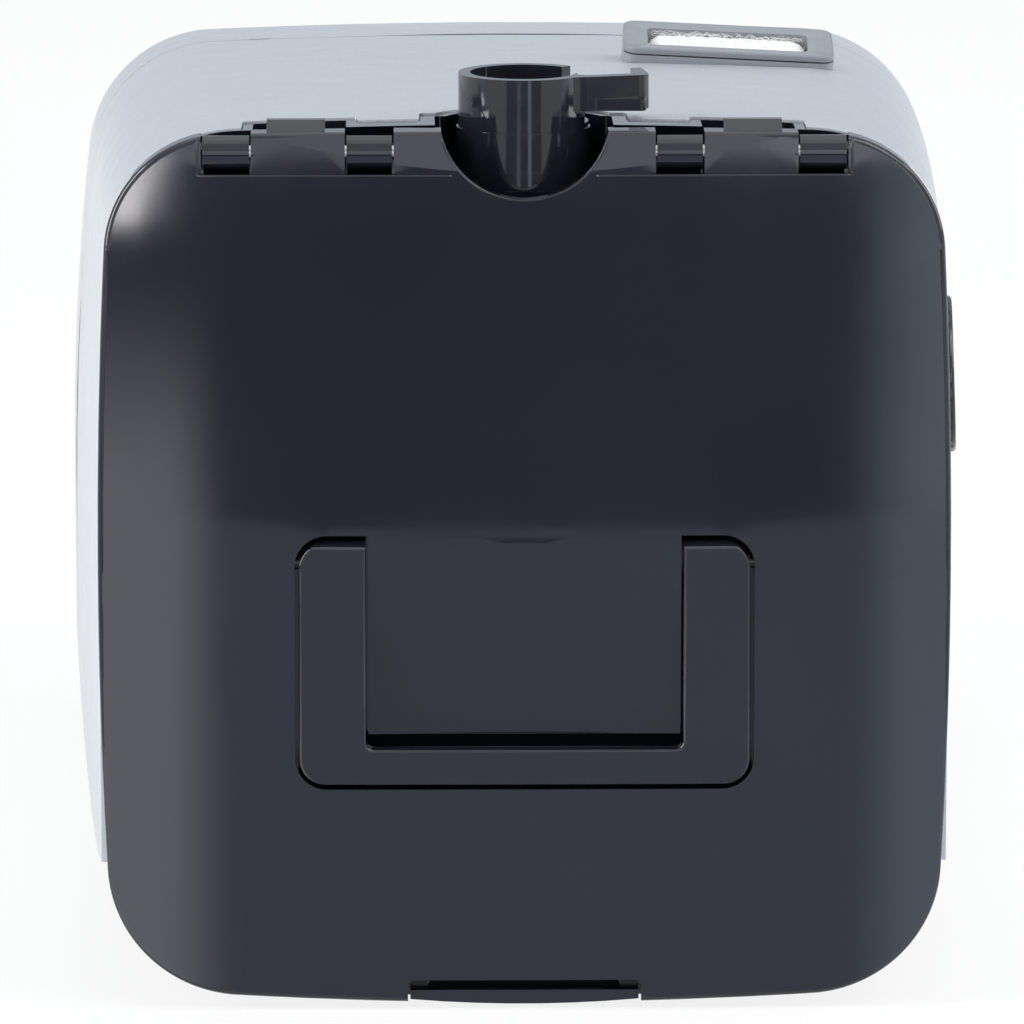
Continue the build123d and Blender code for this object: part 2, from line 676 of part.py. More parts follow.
def latch_plate():
    """Flat U-shaped plate behind the skin with a hooked toe at the foot of the door."""
    y0 = face_y + 3.9
    y1 = y0 + 0.9
    out = handle_width / 2 + handle_gap + 2.0
    top = handle_pivot_z - 2.0
    plate = slab(panel(-out - 4.0, out + 4.0, 20, top, 1.5), y0, y1)
    plate -= slab(panel(-out - 0.5, out + 0.5, 36, top + 20, 3), y0 - 1, y1 + 1)
    plate += slab(panel(-14, 14, toe_low, 24, 1.5), y0, y1)
    for side in (-1, 1):
        low_x, high_x = sorted((side * (out + 0.6), side * (out + 3.9)))
        plate += block(low_x, high_x, y0, handle_pivot_y + crank_arm + 0.9, top - 1.4, top)
        plate += block(low_x, high_x, handle_pivot_y + crank_arm - 0.9,
                       handle_pivot_y + crank_arm + 0.9, top - 1.0, handle_pivot_z - 0.9 - fit_gap)
        plate -= slab(panel(side * 30 - 5, side * 30 + 5, 24, 31, 3), y0 - 1, y1 + 1)
    toe = slab(panel(-14, 14, toe_low, toe_low + 1.1, 0.4), y0, frame_y + 2.6)
    barb = side_slab([(frame_y + 0.8, toe_low + 0.5), (frame_y + 2.6, toe_low + 0.5),
                      (frame_y + 2.0, toe_low + 1.9), (frame_y + 0.8, toe_low + 1.9)], -13, 13)
    return plate + toe + barb


def hinge_pins():
    """Two steel hinge pins, one each side of the outlet notch."""
    pins = []
    near = tab_spans[0][0] + 0.7
    far = knuckle_spans[1][1] - 0.3
    for side in (-1, 1):
        pins.append(rod_x(side * near, side * far, hinge_y, hinge_height, hinge_pin))
    return pins


# ------------------------------------------------------------------ air outlet
def outlet_elbow():
    """Outlet stub: C-shaped collar, shoulder, and the flat key tab beside it."""
    y = outlet_y
    stub = rod_z(0, spigot_y, outlet_floor - 5.0, outlet_floor + 1.0, spigot_radius)
    stub += rod_z(0, y, outlet_floor, outlet_ledge, outlet_outer + 0.3)
    stub += rod_z(0, y, outlet_ledge - 1, outlet_top, outlet_outer)
    stub += rod_z(0, y, outlet_floor, outlet_floor + 3.2, outlet_outer + 0.5)
    tab_low = front_roof + 1.3
    out = outlet_outer
    with BuildSketch() as key:
        with BuildLine():
            start = (out * math.sin(math.radians(30)), y - out * math.cos(math.radians(30)))
            shoulder = (out - 0.2, y - 6.6)
            corner = (out + 8.4, y - 4.4)
            ThreePointArc(start, (out - 3.4, y - 7.6), shoulder)
            Line(shoulder, corner)
            ThreePointArc(corner, (out + 9.9, y - 3.2), (out + 10.0, y - 1.4))
            Polyline((out + 10.0, y - 1.4), (out + 9.0, y + 5.0), (out + 7.2, y + 4.6),
                     (out + 8.0, y - 1.8), (out - 0.8, y - 4.3), (out - 5.0, y - 6.2), start)
        make_face()
    tab = extrude(Plane.XY.offset(tab_low) * key.sketch, amount=outlet_top - tab_low)
    shelf = tray(panel(out + 0.5, out + 9.6, y - 6.4, y + 2.0, 1.0), tab_low, tab_low + 2.0)
    stub += tab
    stub += shelf
    stub -= rod_z(0, y, outlet_floor + 1.4, outlet_top + 5, outlet_bore)
    stub -= rod_z(0, spigot_y, outlet_floor - 10, outlet_floor + 2, spigot_radius - 1.5)
    slot = tray(make_face(Polyline((0, y), (26, y + 24), (40, y + 1), (0, y - 1), close=True)),
                outlet_ledge + 0.9, cut_high)
    keep = tray(panel(out - 1.3, out + 19, y - 12, y + 9, 0.5), outlet_ledge, cut_high)
    stub -= slot - keep
    gap = Polyline((out - 3.0, y + 6.6), (out + 3.0, y + 12), (out + 6.9, y + 6), (out + 6.9, y - 1.9),
                   (out - 0.4, y - 3.9), (out - 1.8, y - 3.5), close=True)
    stub -= tray(make_face(gap), outlet_ledge + 0.9, cut_high)
    return stub


def outlet_manifold():
    """Hollow duct box that joins the chamber's port to the outlet stub."""
    front = bay_front_y + seat_gap
    rear = lid_port_y + 13.5
    box = tray(panel(-14, 14, front, rear, 5), bay_top + 0.2, outlet_floor - 2.5 - seat_gap)
    box -= tray(panel(-12.2, 12.2, front + 1.8, rear - 1.8, 3.5), bay_top + 2.0, outlet_floor - 4.4)
    box -= rod_z(0, spigot_y, outlet_floor - 5, outlet_floor, spigot_radius + 0.2)
    box -= rod_z(0, lid_port_y, bay_top - 1, bay_top + 4, lid_port_radius + 0.4)
    return box


# ------------------------------------------------------------------ water chamber
def chamber_tub():
    """Clear tub with a rim, rounded walls and an opening for its metal base."""
    w = chamber_half_width
    y0 = chamber_front_y
    y1 = y0 + chamber_length
    low = tub_floor
    high = chamber_split
    tub = tray(panel(-w + 3, w - 3, y0 + 3, y1 - 3, chamber_corner - 2), low, high)
    tub -= tray(panel(-w + 5, w - 5, y0 + 5, y1 - 5, chamber_corner - 4), low + 2, high + 1)
    rim = tray(panel(-w, w, y0, y1, chamber_corner), high - 3, high)
    rim -= tray(panel(-w + 5, w - 5, y0 + 5, y1 - 5, chamber_corner - 4), high - 4, high + 1)
    tub += rim
    tub -= rod_z(0, heater_y, low - 1, low + 3, heater_radius - 3)
    return tub


def chamber_lid():
    """Clear lid with the outlet stub on top and the inlet spout at the rear."""
    w = chamber_half_width
    y0 = chamber_front_y
    y1 = y0 + chamber_length
    low = chamber_split + 1.6
    high = bay_floor + chamber_height + 6
    lid = tray(panel(-w, w, y0, y1, chamber_corner), low, low + 3)
    lid += tray(panel(-w + 3, w - 3, y0 + 3, y1 - 3, chamber_corner - 2), low + 2, high)
    lid -= tray(panel(-w + 5, w - 5, y0 + 5, y1 - 5, chamber_corner - 4), low - 1, high - 2)
    lid += rod_z(0, lid_port_y, high - 1, bay_top + 1.0, lid_port_radius)
    lid -= rod_z(0, lid_port_y, high - 3, bay_top + 3, lid_port_radius - 1.6)
    lid += rod_y(air_port_x, y1 - 5, bay_rear_y - bay_wall - 0.6, air_port_z, 10.4)
    lid -= rod_y(air_port_x, y1 - 8, bay_rear_y, air_port_z, 8.8)
    return lid


def chamber_seal():
    """Silicone gasket between the tub and the lid."""
    inset = 0.6
    w = chamber_half_width - inset
    y0 = chamber_front_y + inset
    y1 = chamber_front_y + chamber_length - inset
    ring = tray(panel(-w, w, y0, y1, chamber_corner - inset), chamber_split, chamber_split + 1.6)
    return ring - tray(panel(-w + 3.6, w - 3.6, y0 + 3.6, y1 - 3.6, chamber_corner - 3),
                       chamber_split - 1, chamber_split + 3)


def chamber_base_plate():
    """Metal dish that closes the tub's floor and rests on the heater."""
    plate = rod_z(0, heater_y, tub_floor - 1.2, tub_floor, heater_radius)
    plate += rod_z(0, heater_y, tub_floor - 0.2, tub_floor + 3.2, heater_radius - 3.2)
    return plate - rod_z(0, heater_y, tub_floor + 0.2, tub_floor + 4, heater_radius - 4.6)


# ------------------------------------------------------------------ heater
def heater_plate():
    """Sprung aluminium heater disc with three guide studs below."""
    disc = rod_z(0, heater_y, heater_top - 3.2, heater_top, heater_radius - 0.6)
    for angle in heater_angles:
        x, y = polar(heater_radius - 12, angle)
        disc += rod_z(x, heater_y + y, heater_top - 7.6, heater_top - 3.0, 2.4)
    return disc


def heater_springs():
    """Three wave-spring stacks round the guide studs."""
    springs = []
    low = 7.6
    high = heater_top - 3.2
    for angle in heater_angles:
        x, y = polar(heater_radius - 12, angle)
        for turn in range(4):
            z = low + 0.6 + turn * (high - low - 1.2) / 3
            springs.append(Pos(x, heater_y + y, z) * Torus(3.9, 0.55))
    return springs


def heater_tray():
    """Insulating cup under the heater, standing on the base."""
    cup = rod_z(0, heater_y, base_top + seat_gap, 11.9, heater_radius + 1.0)
    cup -= rod_z(0, heater_y, 7.5, 13, heater_radius - 0.2)
    for angle in heater_angles:
        x, y = polar(heater_radius - 12, angle)
        cup += rod_z(x, heater_y + y, 7.0, 8.2, 2.4)
    return cup


# ------------------------------------------------------------------ blower
def nozzle(middle, reach, inset):
    """Outline of the volute's outlet, which narrows towards the chamber."""
    side = blower_x - scroll_radius + inset
    left = middle - 12 + inset
    right = middle + 12 - inset
    return make_face(Polyline((side, blower_y), (left, reach + 6), (left, reach), (right, reach),
                              (right, blower_y), close=True))


def blower_housing(low, high, floor_side):
    """One half of the volute, with an outlet spout towards the chamber."""
    reach = bay_rear_y + riser_depth + 2 * seat_gap
    spout_x = air_port_x
    half = rod_z(blower_x, blower_y, low, high, scroll_radius)
    half += tray(nozzle(spout_x, reach, 0), low, high)
    z0 = low + 2 if floor_side else low - 1
    z1 = high + 1 if floor_side else high - 2
    half -= rod_z(blower_x, blower_y, z0, z1, scroll_radius - 2)
    half -= tray(nozzle(spout_x, reach - 4, 2), z0, z1)
    return half


def blower_lower():
    """Lower half of the volute on its mounting floor."""
    half = blower_housing(blower_z, blower_z + 14, True)
    return half - rod_z(blower_x, blower_y, blower_z - 1, blower_z + 3, 6)


def blower_upper():
    """Upper half of the volute with the inlet eye."""
    half = blower_housing(blower_z + 14.1, blower_z + 28, False)
    return half - rod_z(blower_x, blower_y, blower_z + 20, blower_z + 40, 15)


def impeller():
    """Backward-curved impeller with eleven blades on a cone hub."""
    low = blower_z + 5
    wheel = rod_z(blower_x, blower_y, low, low + 1.6, 29)
    hub = Pos(blower_x, blower_y, low + 5.5) * Cone(9, 4, 9)
    wheel += hub
    for blade in range(11):
        vane = Pos(19, 0, 0) * Rot(0, 0, 38) * Box(20, 1.1, 13)
        wheel += Pos(blower_x, blower_y, low + 1.2 + 6.5) * Rot(0, 0, blade * 360 / 11) * vane
    wheel = wheel & rod_z(blower_x, blower_y, low - 1, low + 20, 29)
    return wheel - rod_z(blower_x, blower_y, low - 3, low + 12, 1.5)


def motor_shaft():
    """Steel shaft shared by the motor and the impeller."""
    return rod_z(blower_x, blower_y, blower_z - 14, blower_z + 14.6, 1.48)


def motor():
    """Brushless motor can below the volute, with its flange and bearing bore."""
    can = rod_z(blower_x, blower_y, blower_z - 15.5, blower_z - seat_gap, 17)
    can = fillet(can.edges().group_by(Axis.Z)[0], 1.5)
    return can - rod_z(blower_x, blower_y, blower_z - 14.5, blower_z + 1, 1.55)


def blower_mounts():
    """Four rubber isolators between the base and the volute."""
    group = []
    for angle in (45, 135, 225, 315):
        x, y = polar(scroll_radius - 7, angle)
        mount = rod_z(blower_x + x, blower_y + y, base_top + seat_gap, blower_z - seat_gap, 5)
        groove = Pos(blower_x + x, blower_y + y, (base_top + blower_z) / 2) * Torus(6.6, 2.6)
        group.extend((mount - groove).solids())
    return group


def inlet_sleeve():
    """Soft bellows from the volute's spout to the chamber bay's air port."""
    x = air_port_x
    y = bay_rear_y + seat_gap
    wall = 1.8
    tube = rod_y(x, y, y + 3, air_port_z, 14)
    tube += slab(panel(x - 14, x + 14, blower_z, air_port_z + 14, 6), y + 2.6, y + riser_depth)
    tube -= slab(panel(x - 14 + wall, x + 14 - wall, blower_z + wall, air_port_z + 14 - wall, 4.5),
                 y + 2.6 + wall, y + riser_depth - wall)
    tube -= rod_y(x, y - 1, y + 8, air_port_z, 10)
    tube -= slab(panel(x - 10, x + 10, blower_z + 4, blower_z + 24, 3),
                 y + riser_depth - 3, y + riser_depth + 1)
    return tube


def muffler_foam():
    """Open-cell foam block over the blower inlet."""
    block_outline = panel(blower_x - 48, blower_x + 22, blower_y - 30, blower_y + 40, 8)
    foam = tray(block_outline, blower_z + 32, blower_z + 54)
    return foam - rod_z(blower_x, blower_y, blower_z + 30, blower_z + 60, 13)


def intake_duct():
    """Duct from the filter seat back to the muffler."""
    y0 = filter_near_y + 1.0
    top = roof(y0 + 18) - cover_wall - 4.0
    duct = tray(panel(filter_x - 16, filter_x + 16, y0, y0 + 18, 4), top - 14, top)
    duct += tray(panel(filter_x - 16, filter_x + 16, y0 + 4, y0 + 52, 4), top - 14, top - 3)
    duct -= tray(panel(filter_x - 14.4, filter_x + 14.4, y0 + 1.6, y0 + 16.4, 3), top - 12, top + 2)
    duct -= tray(panel(filter_x - 14.4, filter_x + 14.4, y0 + 5.6, y0 + 54, 3), top - 12.4, top - 4.6)
    return duct


# ------------------------------------------------------------------ air filter
def filter_plane(lift):
    """Plane of the filter's seat, tilted about its near edge and rolled to the side."""
    tilt = math.radians(filter_tilt)
    roll = math.radians(filter_roll)
    across = Vector(math.cos(roll), 0, -math.sin(roll))
    normal = across.cross(Vector(0, math.cos(tilt), math.sin(tilt))).normalized()
    near = Vector(filter_x, filter_near_y, roof(filter_near_y) - filter_drop)
    return Plane(origin=near + normal * lift, x_dir=across, z_dir=normal)


def on_filter(x0, x1, y0, y1, radius, low, high):
    """Rounded plate in the filter's own tilted plane."""
    return extrude(filter_plane(low) * panel(x0, x1, y0, y1, radius), amount=high - low)


def filter_seat():
    """Wedge collar on the roof that the filter cassette drops into."""
    half = filter_width / 2
    wedge = on_filter(-half, half, 0, filter_length, 2.4, -9, filter_lip)
    wedge -= case_loft(-0.02, filter_near_y - 8, filter_near_y + 40)
    inner = half - filter_wall
    wedge -= on_filter(-inner, inner, filter_wall, filter_length - filter_wall, 1.6, -12, 4)
    return wedge


def filter_frame():
    """Removable cassette frame with a window and a finger ledge."""
    half = filter_width / 2
    low = filter_lip + fit_gap
    rim = filter_wall + fit_gap
    left, right, near, far = filter_window
    lid = on_filter(-half, half, 0, filter_length, 2.6, low, low + filter_plate)
    upward = Axis(filter_plane(0).origin, filter_plane(0).z_dir)
    lid = fillet(lid.faces().sort_by(upward)[-1].edges(), 0.4)
    lid += on_filter(-half + rim, half - rim, rim, filter_length - rim, 1.4, low - 3.0, low + 0.2)
    lid -= on_filter(-half + left, half - right, near, filter_length - far, 1.2, low - 6, low + 4)
    return lid


def filter_pad():
    """Fibre pad held in the cassette."""
    half = filter_width / 2
    low = filter_lip + fit_gap
    left, right, near, far = [border + fit_gap for border in filter_window]
    return on_filter(-half + left, half - right, near, filter_length - far, 1.0, low - 2.6, low + 0.8)


# ------------------------------------------------------------------ control panel
def control_bezel():
    """Gloss panel with openings for the display, the dial and the start key."""
    plate = on_panel(RectangleRounded(control_length - 0.4, control_height - 0.4, 13.8), -3.7, 0.4)
    plate += on_panel(RectangleRounded(control_length + 5, control_height + 5, 16), -4.4, -3.5)
    plate -= on_panel(Pos(window_x, window_z) * RectangleRounded(window_width, window_height, 3), -1.0, 2)
    plate -= on_panel(Pos(window_x, window_z) * RectangleRounded(window_width - 5, window_height - 5, 2),
                      -6, 2)
    plate -= on_panel(Pos(dial_x, dial_z) * Circle(dial_radius + 0.5), -2.0, 2)
    plate -= on_panel(Pos(dial_x, dial_z) * Circle(4.0), -6, 2)
    plate -= on_panel(Pos(dial_x, start_z) * Circle(start_radius + 0.3), -6, 2)
    return plate


def display_window():
    """Clear window over the display."""
    pane = RectangleRounded(window_width - 0.3, window_height - 0.3, 2.9)
    return on_panel(Pos(window_x, window_z) * pane, -1.0 + 0.02, 0.42)


def display_module():
    """Flat display behind the window."""
    module = RectangleRounded(window_width + 2, window_height + 2, 1)
    return on_panel(Pos(window_x, window_z) * module, -7.4, -4.5)


def dial_knob():
    """Round menu dial with a dished face and a fluted edge."""
    knob = on_panel(Pos(dial_x, dial_z) * Circle(dial_radius), -1.2, 2.9)
    knob = fillet(knob.edges(), 0.7)
    bowl_radius = 60.0
    plane = control_plane(2.9 + bowl_radius - 1.1)
    knob -= plane * Pos(dial_x, dial_z, 0) * Sphere(bowl_radius)
    for flute in range(30):
        x, z = polar(dial_radius + 0.35, flute * 12)
        knob -= on_panel(Pos(dial_x + x, dial_z + z) * Circle(0.65), -0.2, 2.3)
    knob -= on_panel(Pos(dial_x, dial_z) * Circle(2.52), -2, 0.9)
    return knob


def dial_shaft():
    """Encoder shaft that the dial turns on, and that a press pushes in."""
    shaft = on_panel(Pos(dial_x, dial_z) * Circle(2.46), -4.8, 0.8)
    return shaft + on_panel(Pos(dial_x, dial_z) * Circle(3.4), -4.8, -2.6)


def dial_encoder():
    """Encoder body with the push switch behind the dial."""
    body = on_panel(Pos(dial_x, dial_z) * RectangleRounded(12, 12, 1), -9.4, -4.6)
    return body - on_panel(Pos(dial_x, dial_z) * Circle(3.8), -6.4, -4)


def start_button():
    """Start and stop key with a dished cap and a stem."""
    cap = on_panel(Pos(dial_x, start_z) * Circle(start_radius), -2.4, 1.2)
    cap = fillet(cap.edges(), 0.4)
    cap -= control_plane(1.2 + 14 - 0.5) * Pos(dial_x, start_z, 0) * Sphere(14)
    return cap + on_panel(Pos(dial_x, start_z) * Circle(2.0), -5.6, -2.2)


def start_switch():
    """Tact switch behind the start key."""
    return on_panel(Pos(dial_x, start_z) * RectangleRounded(6, 6, 0.6), -9.4, -5.6 - 1.2)


def main_board():
    """Main circuit board behind the control panel, with its parts."""
    board = on_panel(RectangleRounded(control_length - 8, control_height - 6, 2), -11.2, -9.6)
    board += on_panel(Pos(-20, 4) * Rectangle(16, 16), -9.7, -8.2)
    for place in range(4):
        board += on_panel(Pos(-36 + place * 10, -18) * Rectangle(5, 3.4), -9.7, -8.4)
    return board


# ------------------------------------------------------------------ power and data
def power_supply():
    """Power supply board on the right of the blower, with its largest parts."""
    x = psu_x
    y = psu_y
    z = psu_z + 1.5
    board = block(x, x + 42, y, y + 100, psu_z, psu_z + 1.6)
    board += block(x + 7, x + 33, y + 58, y + 84, z, psu_z + 24)
    board += block(x + 5, x + 21, y + 8, y + 24, z, psu_z + 20)
    for place in range(3):
        board += rod_z(x + 32, y + 12 + place * 14, z, psu_z + 22, 5.6)
    board += block(x + 3, x + 6, y + 30, y + 54, z, psu_z + 26)
    for along, back in ((4, 3), (31, 3), (4, 94), (31, 94)):
        board += rod_z(x + along, y + back, base_top + seat_gap, psu_z + 0.1, 2.6)
    return board


def power_inlet():
    """Two-pin appliance inlet, flush with the rear face."""
    x = -inlet_x
    face = rear_y - 0.2
    shell = slab(panel(x - 13, x + 13, inlet_z - 9, inlet_z + 9, 1.8), face - 18, face)
    shell += slab(panel(x - 15.5, x + 15.5, inlet_z - 11.5, inlet_z + 11.5, 2.5),
                  rear_y - 6.2, rear_y - 3.2)
    mouth = slab(panel(x - 8.2, x + 8.2, inlet_z - 4.4, inlet_z + 4.4, 4.3), face - 12, face + 2)
    shell -= mouth
    for side in (-1, 1):
        shell += rod_y(x + side * 4.3, face - 13, face - 2.5, inlet_z, 1.2)
    return shell


def data_port():
    """Socket block behind the rear flap."""
    face = rear_y - 4.0
    shell = slab(panel(port_x - 9.6, port_x + 9.6, port_z - 5.6, port_z + 5.6, 1.5), face - 14, face)
    shell -= slab(panel(port_x - 6.2, port_x + 6.2, port_z - 2.6, port_z + 2.6, 0.4), face - 12, face + 2)
    for side in (-1, 1):
        low_x, high_x = sorted((port_x + side * 8.3, port_x + side * 9.6))
        shell += block(low_x, high_x, face - 0.5, flap_y, flap_z - 1.0, flap_z + 1.0)
        shell += rod_x(low_x, high_x, flap_y, flap_z, 1.0)
    return shell - rod_x(port_x - 11, port_x + 11, flap_y, flap_z, 0.51)


def port_flap():
    """Hinged flap over the data port, with its hinge barrel along the lower edge."""
    flap = slab(panel(port_x - 9.8, port_x + 9.8, flap_z - 2, port_z + 5.8, 1.0),
                rear_y - 1.8, rear_y - 0.2)
    flap -= block(port_x - 11, port_x + 11, rear_y - 3, rear_y, flap_z - 3, flap_z)
    for side in (-1, 1):
        low_x, high_x = sorted((port_x + side * 8.0, port_x + side * 11.0))
        flap -= block(low_x, high_x, rear_y - 3, rear_y, flap_z - 3, flap_z + 1.6)
    flap += rod_x(port_x - 8.0, port_x + 8.0, flap_y, flap_z, 1.1)
    flap -= slab(panel(port_x - 3, port_x + 3, port_z + 4.2, port_z + 8, 0.8), rear_y - 1.0, rear_y + 1)
    return flap - rod_x(port_x - 11, port_x + 11, flap_y, flap_z, 0.5 + pin_clearance)


def flap_pin():
    """Wire pin through the flap's barrel."""
    return rod_x(port_x - 10.0, port_x + 10.0, flap_y, flap_z, 0.5)


# ------------------------------------------------------------------ output
def grouped(solids):
    """One node made of several separate solids."""
    return Compound(children=[solid for piece in solids for solid in piece.solids()])


def main():
    pins = hinge_pins()
    nodes = {
        "outer_sleeve": outer_sleeve(),
        "rear_cover": rear_cover(),
        "base": base(),
        "front_frame": front_frame(),
        "bay_liner": bay_liner(),
        "feet": feet(),
        "case_screws": case_screws(),
        "door_shell": door_shell(),
        "door_liner": door_liner(),
        "door_seal": door_seal(),
        "door_handle": door_handle(),
        "handle_pins": handle_pins(),
        "handle_springs": grouped(handle_springs()),
        "latch_plate": latch_plate(),
        "hinge_pin_left": pins[0],
        "hinge_pin_right": pins[1],
        "outlet_elbow": outlet_elbow(),
        "outlet_manifold": outlet_manifold(),
        "chamber_tub": chamber_tub(),
        "chamber_lid": chamber_lid(),
        "chamber_seal": chamber_seal(),
        "chamber_base_plate": chamber_base_plate(),
        "heater_plate": heater_plate(),
        "heater_springs": grouped(heater_springs()),
        "heater_tray": heater_tray(),
        "blower_lower": blower_lower(),
        "blower_upper": blower_upper(),
        "impeller": impeller(),
        "motor_shaft": motor_shaft(),
        "motor": motor(),
        "blower_mounts": grouped(blower_mounts()),
        "inlet_sleeve": inlet_sleeve(),
        "muffler_foam": muffler_foam(),
        "intake_duct": intake_duct(),
        "filter_seat": filter_seat(),
        "filter_frame": filter_frame(),
        "filter_pad": filter_pad(),
        "control_bezel": control_bezel(),
        "display_window": display_window(),
        "display_module": display_module(),
        "dial_knob": dial_knob(),
        "dial_shaft": dial_shaft(),
        "dial_encoder": dial_encoder(),
        "start_button": start_button(),
        "start_switch": start_switch(),
        "main_board": main_board(),
        "power_supply": power_supply(),
        "power_inlet": power_inlet(),
        "data_port": data_port(),
        "port_flap": port_flap(),
        "flap_pin": flap_pin(),
    }
    for name, shape in nodes.items():
        export_step(shape, "parts/" + name + ".step")


main()
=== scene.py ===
"""Looks of the bedside breathing-therapy machine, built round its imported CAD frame."""

import json
import math
import random

import bpy
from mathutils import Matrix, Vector, noise
from mathutils.bvhtree import BVHTree

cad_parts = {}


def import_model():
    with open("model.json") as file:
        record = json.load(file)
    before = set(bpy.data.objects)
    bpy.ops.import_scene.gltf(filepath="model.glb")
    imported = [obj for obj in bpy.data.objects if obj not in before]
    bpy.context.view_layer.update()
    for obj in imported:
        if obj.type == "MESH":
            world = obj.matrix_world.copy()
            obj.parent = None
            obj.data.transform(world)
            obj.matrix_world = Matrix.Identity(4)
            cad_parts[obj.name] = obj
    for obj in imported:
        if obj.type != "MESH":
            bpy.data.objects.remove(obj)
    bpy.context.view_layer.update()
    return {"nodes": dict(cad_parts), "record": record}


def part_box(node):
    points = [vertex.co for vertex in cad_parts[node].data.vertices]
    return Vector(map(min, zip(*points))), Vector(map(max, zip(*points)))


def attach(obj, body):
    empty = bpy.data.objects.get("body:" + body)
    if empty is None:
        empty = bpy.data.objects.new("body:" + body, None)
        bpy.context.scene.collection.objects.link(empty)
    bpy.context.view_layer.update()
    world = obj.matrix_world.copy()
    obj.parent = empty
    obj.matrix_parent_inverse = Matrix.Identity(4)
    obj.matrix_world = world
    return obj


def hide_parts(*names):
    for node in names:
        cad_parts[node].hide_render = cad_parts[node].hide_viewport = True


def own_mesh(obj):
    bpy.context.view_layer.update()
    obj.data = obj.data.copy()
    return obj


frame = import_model()

NODES = frame["nodes"]
MM = 0.001


# ------------------------------------------------------------------ material helpers
class Paint:
    """A node material with object coordinates ready to use."""

    def __init__(self, name):
        self.material = bpy.data.materials.new(name)
        self.material.use_nodes = True
        self.tree = self.material.node_tree
        self.shader = self.tree.nodes["Principled BSDF"]
        self.place = self.add("ShaderNodeTexCoord").outputs["Object"]

    def add(self, kind, **settings):
        node = self.tree.nodes.new(kind)
        for key, value in settings.items():
            setattr(node, key, value)
        return node

    def link(self, source, target):
        self.tree.links.new(source, target)

    def set(self, **values):
        """Plain values on the shader's own sockets; underscores stand for spaces."""
        for key, value in values.items():
            self.shader.inputs[key.replace("_", " ")].default_value = value

    def noise(self, size, detail=3.0, rough=0.5, stretch=None):
        """Noise whose features are about size metres across."""
        node = self.add("ShaderNodeTexNoise")
        node.inputs["Scale"].default_value = 1.0 / size
        node.inputs["Detail"].default_value = detail
        node.inputs["Roughness"].default_value = rough
        source = self.place
        if stretch:
            mapping = self.add("ShaderNodeMapping")
            mapping.inputs["Scale"].default_value = stretch
            self.link(source, mapping.inputs["Vector"])
            source = mapping.outputs["Vector"]
        self.link(source, node.inputs["Vector"])
        return node.outputs["Fac"]

    def cells(self, size):
        """Distance to the middles of cells about size metres across."""
        node = self.add("ShaderNodeTexVoronoi", feature="F1")
        node.inputs["Scale"].default_value = 1.0 / size
        self.link(self.place, node.inputs["Vector"])
        return node.outputs["Distance"]

    def ramp(self, source, low, high, start=0.3, end=0.7):
        """Grey between two values as source goes from start to end."""
        node = self.add("ShaderNodeMapRange")
        node.inputs["From Min"].default_value = start
        node.inputs["From Max"].default_value = end
        node.inputs["To Min"].default_value = low
        node.inputs["To Max"].default_value = high
        self.link(source, node.inputs["Value"])
        return node.outputs["Result"]

    def mix(self, factor, first, second):
        """Colour between two colours or sockets."""
        node = self.add("ShaderNodeMix", data_type="RGBA")
        self.link(factor, node.inputs["Factor"])
        targets = [entry for entry in node.inputs if entry.type == "RGBA"]
        for target, value in zip(targets, (first, second)):
            if isinstance(value, tuple):
                target.default_value = (*value, 1.0)
            else:
                self.link(value, target)
        return [entry for entry in node.outputs if entry.type == "RGBA"][0]

    def colour(self, socket):
        self.link(socket, self.shader.inputs["Base Color"])

    def roughness(self, socket):
        self.link(socket, self.shader.inputs["Roughness"])

    def bump(self, height, strength, depth, before=None):
        """Bump of depth metres on the shader, on top of the bump before it."""
        node = self.add("ShaderNodeBump")
        node.inputs["Strength"].default_value = strength
        node.inputs["Distance"].default_value = depth
        self.link(height, node.inputs["Height"])
        if before is not None:
            self.link(before, node.inputs["Normal"])
        self.link(node.outputs["Normal"], self.shader.inputs["Normal"])
        return node.outputs["Normal"]

    def edge(self, start, end):
        """Grey that rises on sharp convex edges, for handling wear."""
        geometry = self.add("ShaderNodeNewGeometry")
        return self.ramp(geometry.outputs["Pointiness"], 0.0, 1.0, start, end)


def shade(colour, factor):
    return tuple(min(1.0, part * factor) for part in colour)


def moulded(name, colour, rough, grain, depth, wear=0.0, **values):
    """Moulded plastic: fine grain, a slow drift of tone, uneven roughness, lighter worn edges.

    The grain's size and depth are in millimetres.
    """
    tone, spread = 0.06, 0.06
    paint = Paint(name)
    drift = paint.noise(45 * MM, 2.0)
    body = paint.mix(paint.ramp(drift, 0, 1), shade(colour, 1 - tone), shade(colour, 1 + tone))
    if wear:
        body = paint.mix(paint.edge(0.52, 0.60), body, shade(colour, 1 + wear))
    paint.colour(body)
    paint.roughness(paint.ramp(paint.noise(6 * MM, 4.0), rough - spread, rough + spread))
    fine = paint.noise(grain * MM, 2.0)
    paint.bump(fine, 0.35, depth * MM)
    paint.set(**values)
    return paint.material


def silver_shell():
    """Silver-painted shell: cool flake over a satin body, under a thin clear coat."""
    paint = Paint("silver_shell")
    drift = paint.noise(90 * MM, 2.0)
    body = paint.mix(paint.ramp(drift, 0, 1), (0.400, 0.430, 0.466), (0.438, 0.466, 0.502))
    flake = paint.ramp(paint.noise(0.22 * MM, 1.0), 0, 1, 0.42, 0.62)
    paint.colour(paint.mix(flake, body, (0.51, 0.54, 0.58)))
    paint.roughness(paint.ramp(paint.noise(9 * MM, 4.0), 0.34, 0.42))
    paint.bump(paint.noise(0.30 * MM, 2.0), 0.22, 0.012 * MM)
    paint.set(Metallic=0.28, Coat_Weight=0.18, Coat_Roughness=0.22)
    return paint.material


